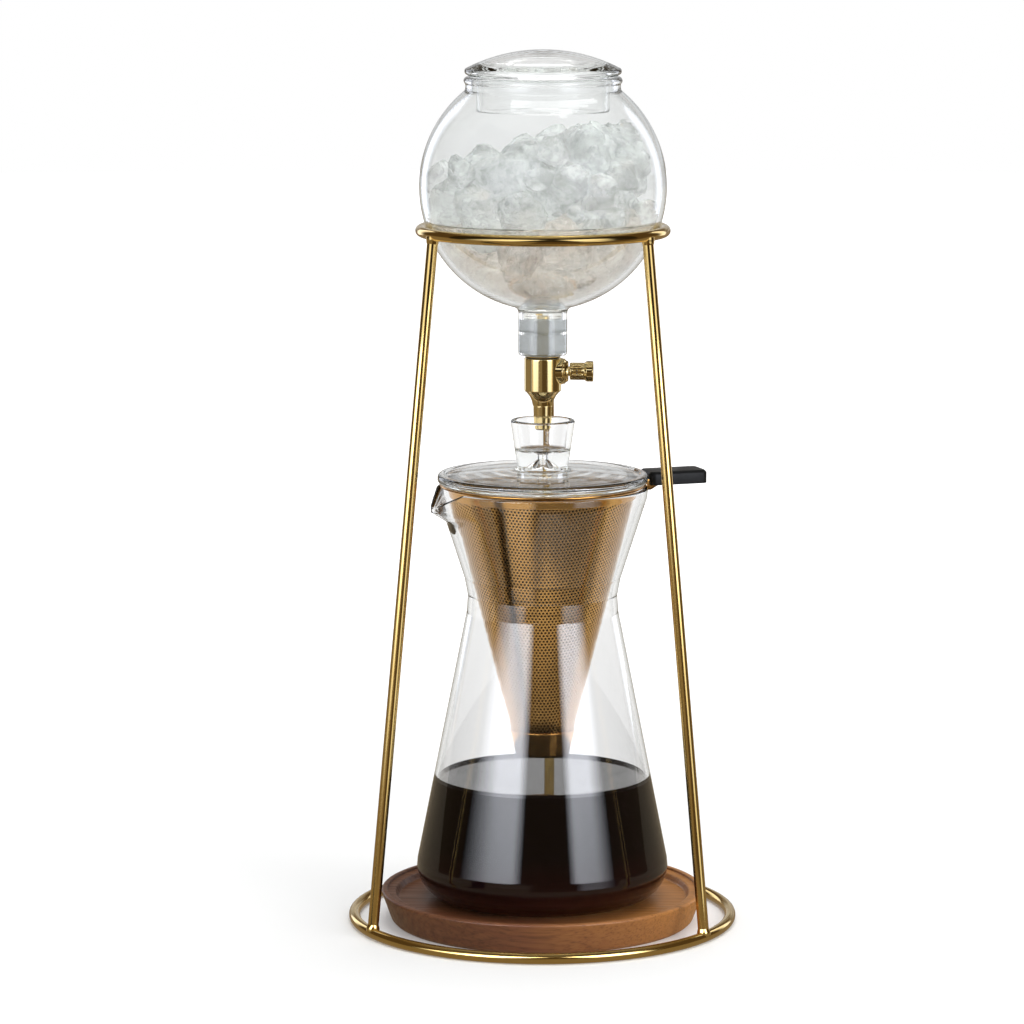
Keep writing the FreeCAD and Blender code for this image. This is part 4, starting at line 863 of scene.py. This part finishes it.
def make_globe_lid(clear):
    """Hollow dome with a skirt that hangs in the mouth."""
    centre, foot, seat = (0, 279), 320.8, 334.85
    outer = arc(centre, 66, 62.6, 90, 14)[1:]
    inner = arc(centre, 63.8, 90, 68.3, 12)[:-1]
    inner[0] = (0, inner[0][1])
    outer[-1] = (0, outer[-1][1])
    turned_piece(
        "glass_globe_lid", inner + [
            (23.9, 338.0, 1.6), (23.9, foot, 0.97), (25.9, foot, 0.97), (25.9, seat, 0.8),
            (29.0, seat, 0.6), (30.5, 335.9, 0.9), (30.5, 337.5, 0.9)] + outer,
        clear, "globe_lid", "globe_lid")


def lump(rng, centre, size):
    """One melted lump: flat facets at random distances that run softly into each other.

    Where it meets the globe it has melted to the globe's shape.
    """
    facet_count, softness, longest = 9, 28, 1.2
    bump_size, bump_share = 3.0, 0.13
    facets = []
    for _ in range(facet_count):
        facing = Vector([rng.gauss(0, 1) for _ in range(3)]).normalized()
        facets.append((facing, rng.uniform(0.6, 1.0)))
    bm = bmesh.new()
    bmesh.ops.create_icosphere(bm, subdivisions=3, radius=1.0)
    middle = Vector((0, 0, GLOBE_HEIGHT))
    for vertex in bm.verts:
        total = sum((max(vertex.co.dot(facing), 0.0) / reach) ** softness for facing, reach in facets)
        radius = min((total + 1e-6) ** (-1 / softness), longest)
        place = vertex.co * radius * size + centre
        place += noise.noise_vector(place / bump_size) * bump_share * size
        out = place - middle
        vertex.co = middle + out * min(1.0, ICE_ROOM / out.length)
    return to_mesh(bm, "lump")


def make_ice(clear_ice, sunk_ice):
    """Lumps of ice heaped in the globe, higher on the right; the lower ones lie under water."""
    rng = random.Random(11)
    tries, first_limit, last_limit = 9000, 12.5, 6.0
    lowest, heap_height, heap_slope = 252, 312, 0.24
    # shares of a lump's size that stay in the globe, in the heap and clear of the next lump
    in_wall, in_layer, apart = 0.85, 0.8, 0.76
    lumps = []
    for attempt in range(tries):
        limit = first_limit - (first_limit - last_limit) * attempt / tries
        size = rng.uniform(limit - 2, limit)
        centre = Vector([rng.uniform(-ICE_ROOM, ICE_ROOM) for _ in range(3)])
        height = centre.z + GLOBE_HEIGHT
        in_globe = centre.length + in_wall * size <= ICE_ROOM
        top = heap_height + heap_slope * centre.x
        in_heap = lowest <= height - in_layer * size and height + in_layer * size <= top
        if in_globe and in_heap and all((centre - other).length > apart * (size + reach)
                                        for other, reach in lumps):
            lumps.append((centre, size))
    to_globe = Vector((0, 0, GLOBE_HEIGHT))
    for name, sunk, finish in (("ice_lumps", False, clear_ice), ("sunk_ice_lumps", True, sunk_ice)):
        mesh = joined(name, [lump(rng, centre + to_globe, size) for centre, size in lumps
                             if (centre.z + GLOBE_HEIGHT < WATER_LEVEL - 2) == sunk])
        mesh.transform(Matrix.Scale(MM, 4))
        new_piece(name, smooth(mesh, 60), finish, "globe")


def make_water(water):
    """The melt water, down to the top of the bung and the mouth of the inlet stem."""
    gap, stem, foot = 0.12, 2.55, 240.7
    sphere = GLOBE_INSIDE - gap
    start = math.degrees(math.acos((NECK_BORE + 0.5) / sphere))
    end = math.degrees(math.asin((WATER_LEVEL - GLOBE_HEIGHT) / sphere))
    shell = arc((0, GLOBE_HEIGHT), sphere, -start, end, 40)
    edge = shell[-1][0]
    turned_piece("melt_water", [
        (stem, foot), (NECK_BORE - gap, foot, 0.3), (NECK_BORE - gap, 246.4, 0.4)] + shell + [
        (edge - 1.2, WATER_LEVEL - 0.8), (edge - 2.6, WATER_LEVEL - 1.0), (0, WATER_LEVEL - 1.0),
        (0, 241.8), (stem, 241.8)], water, "globe", spacing=3.0)


# -------------------------------- valve
def make_bung(rubber, brass, seal):
    """Silicone bung in the neck, the brass inlet stem through it and the seal below."""
    pressed, foot, top = NECK_BORE + 0.06, 226.75, 240.5
    turned_piece("silicone_bung", [
        (2.52, foot), (pressed, foot, 0.4), (pressed, 234.0, 0.15), (6.9, 234.6, 0.1),
        (pressed, 235.2, 0.15), (pressed, top, 0.8), (2.52, top)],
        rubber, "globe", "outlet_bung", spacing=1.5, segments=96)
    bore, stem, disc, disc_foot, disc_top, stem_top = 1.4, 2.5, 7.2, 225.3, 226.6, 241.6
    turned_piece("brass_inlet_stem", [
        (bore, 222.0), (3.0, 222.0), (3.0, disc_foot, 0.1), (disc, disc_foot, 0.35),
        (disc, disc_top, 0.35), (stem, disc_top, 0.3), (stem, stem_top, 0.4), (bore, stem_top, 0.2)],
        brass, "globe", "inlet_stem", segments=96)
    inside, outside, seal_foot = 3.05, 6.6, 224.8
    turned_piece("flange_washer", [
        (inside, seal_foot), (outside, seal_foot, 0.15), (outside, disc_foot, 0.15), (inside, disc_foot)],
        seal, "globe", "flange_seal", spacing=1.0, segments=96)


def make_valve(brass, knob_brass):
    """Barrel with its boss, nozzle, packing collar and the knob on the needle."""
    foot, shoulder, top, boss = 206.0, 211.9, 224.8, 5.2
    hollow = curve((4.0, foot), (6.9, 211.6), 8.0)
    corners = [(0, foot)] + hollow + [(7.25, shoulder, 0.2), (7.25, top, 0.35), (0, top)]
    barrel = turned_mesh("barrel", corners, spacing=1.5, segments=96)
    side = turned_mesh("boss", [(0, 0), (boss, 0), (boss, 8.0, 0.35), (0, 8.0)],
                       spacing=1.5, segments=64, along_x=True)
    new_piece("brass_barrel", union("brass_barrel", barrel, side), brass, "globe", "valve_body")
    tip, bore, upper, inlet = 196.6, 1.2, 205.98, 209.4
    turned_piece("brass_nozzle", [
        (bore, tip, 0.2), (3.15, tip, 0.6), (3.15, 198.75, 0.25), (2.85, 198.78), (2.85, 198.98),
        (3.5, 199.0, 0.2), (3.75, upper, 0.15), (2.4, upper), (2.4, inlet), (bore, inlet)],
        brass, "globe", "drip_nozzle", spacing=1.2, segments=96)
    start, step, end = 6.22, 8.02, 10.0
    flare = curve((5.0, 8.55), (3.9, end), 3.0, 5)
    turned_piece("packing_collar", [
        (1.97, start), (3.2, start), (3.2, step), (5.0, step, 0.15)] + flare + [(1.97, end, 0.2)],
        knob_brass, "globe", "packing_gland", spacing=1.2, segments=72, along_x=True)


def make_knob(knob_brass):
    """Knob with a fluted grip and a flared end."""
    bore, collar, flare, start, end, recess = 1.92, 3.4, 4.05, 10.6, 19.8, 19.3
    grooves, depth, fluted_from = 14, 0.32, 3.3
    grip_start, grip_end, run_out = 11.5, 15.9, 0.45

    def fluted(radius, along, azimuth):
        """Sinks the grooves into the grip and runs them out at both ends."""
        if radius < fluted_from:
            return radius, along
        ends = min(along - grip_start, grip_end - along) / run_out
        share = min(max(ends, 0.0), 1.0) * max(math.cos(grooves * azimuth), 0.0) ** 0.7
        return radius - depth * share, along

    turned_piece("knurled_knob", [
        (bore, start), (collar, start, 0.4), (collar, 16.4, 0.2), (flare, 17.2, 0.2), (flare, end, 0.4),
        (2.8, end, 0.25), (2.4, recess, 0.2), (0, recess), (0, 18.5), (bore, 18.5)],
        knob_brass, "needle", "valve_knob", spacing=0.35, steps=6, segments=168, along_x=True, shape=fluted)


# -------------------------------- studio
def reflected(tree):
    """1 for light that was mirrored once on its way, also behind glass, and 0 for all other light.

    Light that was mirrored more than once, as in a thick rim, or that has wandered through more than
    four surfaces, as in ice, counts as light let through.
    """
    path = add(tree, "LightPath").outputs
    once = add(tree, "COMPARE", [path["Glossy Depth"], 1.0, 0.5])
    shallow = add(tree, "LESS_THAN", [path["Transmission Depth"], 4.5])
    direct = add(tree, "SUBTRACT", [1.0, path["Is Diffuse Ray"]])
    return add(tree, "MULTIPLY", [add(tree, "MULTIPLY", [once, shallow]), direct])


def make_floor():
    """Pale floor: white to the eye and through glass, with the object's soft shadow.

    Metal mirrors it as a dim warm table and glass as a bright one, which ends at a bent line in
    front of the object.
    """
    bm = bmesh.new()
    bmesh.ops.create_circle(bm, cap_ends=True, radius=4.0, segments=96)
    floor = new_object("floor", to_mesh(bm, "floor"))
    material, tree = new_material("white_paper_floor")
    place = add(tree, "TexCoord").outputs["Object"]
    x, y, _ = add(tree, "SeparateXYZ", [place]).outputs
    distance = add(tree, "VectorMath", [place], operation="LENGTH")
    behind_glass = add(tree, "LightPath").outputs["Is Transmission Ray"]
    near, far = 0.25, 0.9
    paper = add(tree, "BsdfDiffuse", {"Color": "#E6E6E6"})
    # painted shade round the object: the glow is weaker within a quarter metre of it, so the floor is
    # greyer there, also through glass
    glow = add(tree, "Emission", {"Strength": add(tree, "MapRange", [distance, near, far, 0.14, 0.75])})
    through = add(tree, "Emission", {"Strength": add(tree, "MapRange", [distance, near, far, 0.88, 1.0])})
    plain = add(tree, "MixShader", [behind_glass, add(tree, "AddShader", [paper, glow]), through])
    # mirrored inside glass, the table is brighter at the front and behind the middle than between
    front = add(tree, "MapRange", [y, -0.19, -0.13, 1.1, 0.5])
    rear = add(tree, "MapRange", [y, -0.02, 0.03, 0.0, 0.6])
    bright = add(tree, "MapRange", [behind_glass, 0.0, 1.0, 0.3, add(tree, "ADD", [front, rear])])
    tint = add(tree, "Mix", [behind_glass, "#FFE8C4", "#FFFFFF"], data_type="RGBA")
    table = add(tree, "Emission", {"Color": tint, "Strength": bright})
    aside = add(tree, "ABSOLUTE", [add(tree, "SUBTRACT", [x, 0.03])])
    ahead = add(tree, "SUBTRACT", [add(tree, "MULTIPLY", [aside, 0.55]), y])
    past_end = add(tree, "MULTIPLY", [add(tree, "MapRange", [ahead, 0.222, 0.236, 0.0, 1.0]),
                                      add(tree, "MapRange", [x, -0.07, -0.03, 0.0, 1.0])])
    mirrored = add(tree, "MixShader", [past_end, table, add(tree, "BsdfTransparent")])
    dress(floor.data, finished(material, add(tree, "MixShader", [reflected(tree), plain, mirrored])))


def stand_off(offset, distance, height):
    """A place at an azimuth from the view, in metres."""
    return around(distance, math.radians(VIEW_AZIMUTH + offset), height)


def stage_card(name, corners, faces, material, shader):
    """Puts a card in the studio that shows its shader to mirrored light and is clear to all other."""
    mesh = bpy.data.meshes.new(name)
    mesh.from_pydata(corners, [], faces)
    tree = material.node_tree
    either = add(tree, "MixShader", [reflected(tree), add(tree, "BsdfTransparent"), shader])
    dress(mesh, finished(material, either))
    card = new_object(name, mesh)
    card.visible_camera = False
    card.visible_shadow = False
    card.visible_diffuse = False
    return mesh


def make_card(name, inner, outer, low, high, strengths):
    """An upright soft light, even and then fading outwards, dimmer below than above.

    Inner and outer are azimuths from the view, each at the foot and at the top of the card.
    """
    distance = 1.3
    weak, strong = strengths
    material, tree = new_material(f"{name}_light")
    across, up, _ = add(tree, "SeparateXYZ", [add(tree, "UVMap", uv_map="fade")]).outputs
    start = add(tree, "MapRange", [across, 0.0, 0.16, 0.0, 1.0])
    fade = add(tree, "MapRange", [across, 0.55, 1.0, 1.0, 0.03])
    rise = add(tree, "MapRange", [up, 0.27, 0.43, weak, strong])
    strength = add(tree, "MULTIPLY", [add(tree, "MULTIPLY", [start, fade]), rise])
    shine = add(tree, "Emission", {"Color": "#F3F6FF", "Strength": strength})
    corners = [stand_off(inner[0], distance, low), stand_off(outer[0], distance, low),
               stand_off(outer[1], distance, high), stand_off(inner[1], distance, high)]
    layer = stage_card(name, corners, [(0, 1, 2, 3)], material, shine).uv_layers.new(name="fade")
    for loop, place in zip(layer.data, ((0, 0), (1, 0), (1, 1), (0, 1))):
        loop.uv = place


def make_flag(name, corners):
    """A black card that metal and glass mirror as a dark patch; corners are offset and distance."""
    material, tree = new_material(f"{name}_black")
    black = add(tree, "Emission", {"Color": "#F3F6FF", "Strength": 0.03})
    places = [stand_off(offset, distance, 1 * MM) for offset, distance in corners]
    stage_card(name, places, [tuple(range(len(places)))], material, black)


def make_veil():
    """Grey gauze in front of the globe that dims the lights in its reflections and the top ring's."""
    material, tree = new_material("grey_gauze")
    bottom, top, distance = 0.236, 0.55, 0.22
    offsets = range(-84, 85, 28)
    corners = [stand_off(offset, distance, height) for offset in offsets for height in (bottom, top)]
    faces = [(2 * place, 2 * place + 1, 2 * place + 3, 2 * place + 2) for place in range(len(offsets) - 1)]
    stage_card("veil", corners, faces, material, add(tree, "BsdfTransparent", ["#868686"]))


def make_lamp(name, place, size, power):
    """A square soft lamp aimed at the middle of the object."""
    lamp = bpy.data.lights.new(name, "AREA")
    lamp.shape = "SQUARE"
    lamp.size = size
    lamp.energy = power
    holder = new_object(name, lamp)
    holder.location = place
    holder.rotation_euler = (Vector((0, 0, 0.15)) - Vector(place)).to_track_quat("-Z", "Y").to_euler()
    holder.visible_glossy = False


def make_world():
    """Plain studio: white to the eye and through glass, a little dimmer overhead.

    What is mirrored is a dark room with a paler wall behind the object; diffuse light is even.
    """
    world = bpy.data.worlds.new("studio")
    world.use_nodes = True
    tree = world.node_tree
    tree.nodes.clear()
    bpy.context.scene.world = world
    place = add(tree, "TexCoord").outputs["Generated"]
    _, y, z = add(tree, "SeparateXYZ", [place]).outputs
    path = add(tree, "LightPath").outputs
    behind_glass = path["Is Transmission Ray"]
    stripes = add(tree, "Mapping", {"Vector": place, "Scale": (1.5, 1.5, 22)})
    streaks = add(tree, "TexNoise", {"Vector": stripes, "Scale": 1.0, "Detail": 2.0})
    light_wall = add(tree, "MapRange", [streaks, 0.38, 0.62, 0.2, 0.75])
    wall = add(tree, "MapRange", [y, 0.86, 0.975, 0.11, light_wall])
    ceiling = add(tree, "MapRange", [z, 0.55, 0.9, 0.0, 0.35])
    room = add(tree, "MAXIMUM", [wall, ceiling])
    # inside glass and water the paler wall and the ceiling reach further round
    inner_wall = add(tree, "MapRange", [y, 0.2, 0.75, 0.07, 0.85])
    inner_ceiling = add(tree, "MapRange", [z, 0.35, 0.75, 0.0, 0.75])
    below = add(tree, "MapRange", [z, -0.5, -0.25, 0.3, 0.0])
    inner_room = add(tree, "MAXIMUM", [add(tree, "MAXIMUM", [inner_wall, inner_ceiling]), below])
    mirrored = add(tree, "Mix", [behind_glass, room, inner_room])
    even = 0.62
    let_through = add(tree, "MapRange", [z, 0.15, 0.8, 1.0, 0.75])
    plain = add(tree, "Mix", [behind_glass, even, let_through])
    lit = add(tree, "Mix", [reflected(tree), plain, mirrored])
    strength = add(tree, "Mix", [path["Is Camera Ray"], lit, 1.0])
    # the dark parts of the room are warm where they are mirrored outside glass
    bare = add(tree, "MULTIPLY", [reflected(tree), add(tree, "SUBTRACT", [1.0, behind_glass])])
    warmth = add(tree, "MULTIPLY", [bare, add(tree, "MapRange", [mirrored, 0.1, 0.4, 1.0, 0.0])])
    colour = add(tree, "Mix", [warmth, "#FFFFFF", "#FFD596"], data_type="RGBA")
    add(tree, "OutputWorld", [add(tree, "Background", {"Color": colour, "Strength": strength})])


def make_camera():
    """Long lens, a little above the middle of the tower and slightly to its right."""
    camera = bpy.data.cameras.new("camera")
    camera.lens = 158.06
    camera.sensor_width = 36.0
    camera.clip_start = 0.05
    holder = new_object("camera", camera)
    holder.location = (0.0765, -1.7484, 0.4285)
    holder.rotation_euler = (math.radians(81.394), 0, math.radians(2.9))
    bpy.context.scene.camera = holder


def make_studio():
    """Floor, lights, world, camera and how far light is followed through the glass."""
    make_floor()
    make_card("left_card", (-35, 6), (-92, -52), -0.25, 0.9, (1.5, 8.0))
    make_card("right_card", (33, 10), (70, 64), -0.25, 0.9, (1.5, 8.0))
    make_card("rear_left_card", (-156, -156), (-134, -134), 0.02, 1.0, (2.0, 2.0))
    make_card("rear_right_card", (146, 146), (126, 126), 0.02, 1.0, (2.0, 2.0))
    make_flag("left_flag", [(-50, 0.1), (-50, 0.5), (-62, 0.5), (-62, 0.1)])
    make_veil()
    make_lamp("top_lamp", (0.1, 0.3, 1.7), 1.2, 16)
    make_lamp("side_lamp", (1.1, -0.9, 0.7), 0.8, 9)
    make_world()
    make_camera()
    scene = bpy.context.scene
    scene.view_settings.view_transform = "Standard"
    scene.cycles.max_bounces = 28
    scene.cycles.transmission_bounces = 24
    scene.cycles.glossy_bounces = 8
    scene.cycles.transparent_max_bounces = 24


# -------------------------------- the whole tower
def main():
    """Makes every piece with its finish, then the studio."""
    brass = (turned_brass(), "turned_brass")
    knob_brass = (knurled_brass(), "turned_brass")
    gold = (coated_steel(), "gold_steel")
    seal = (black_rubber(), "black_rubber")
    steel = plain_steel()
    pressed = (glass("pressed_borosilicate_glass", "#FFFFFF", "#E2E6E7", "#8A9193"), "clear_glass")
    make_stand((plated_wire(), "plated_wire"))
    make_tray((oiled_wood(), "wood"))
    make_carafe((glass("blown_borosilicate_glass", "#FFFFFF", "#C0C7C9", "#6A7274"), "clear_glass"),
                (brewed_coffee("cold_brew_coffee", 0.05), "clear_glass"),
                (brewed_coffee("coffee_surface", 0.5), "clear_glass"))
    make_carafe_lid(pressed)
    make_filter(gold, (coated_mesh(), "gold_steel"))
    make_handle(gold, (moulded_plastic(), "black_plastic"), steel)
    make_globe((glass("misted_borosilicate_glass", "#F8F9F9", "#BBC2C4", "#3C4345"), "clear_glass"))
    make_globe_lid(pressed)
    make_ice((ice("melting_ice", "#F9F8F8", "#FFFFFF", 1.31, (0.5, 0.97)), "clear_glass"),
             (ice("sunk_ice", "#FBF4F0", "#FFFBF8", 1.06, (0.6, 0.97)), "clear_glass"))
    make_water((melt_water(), "clear_glass"))
    make_bung((silicone(), "silicone"), brass, seal)
    make_valve(brass, knob_brass)
    make_knob(knob_brass)
    for node, material in (("valve_needle", brass[0]), ("knob_pin", steel), ("stem_o_ring", seal[0])):
        dress(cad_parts[node].data, material)
    make_studio()


main()
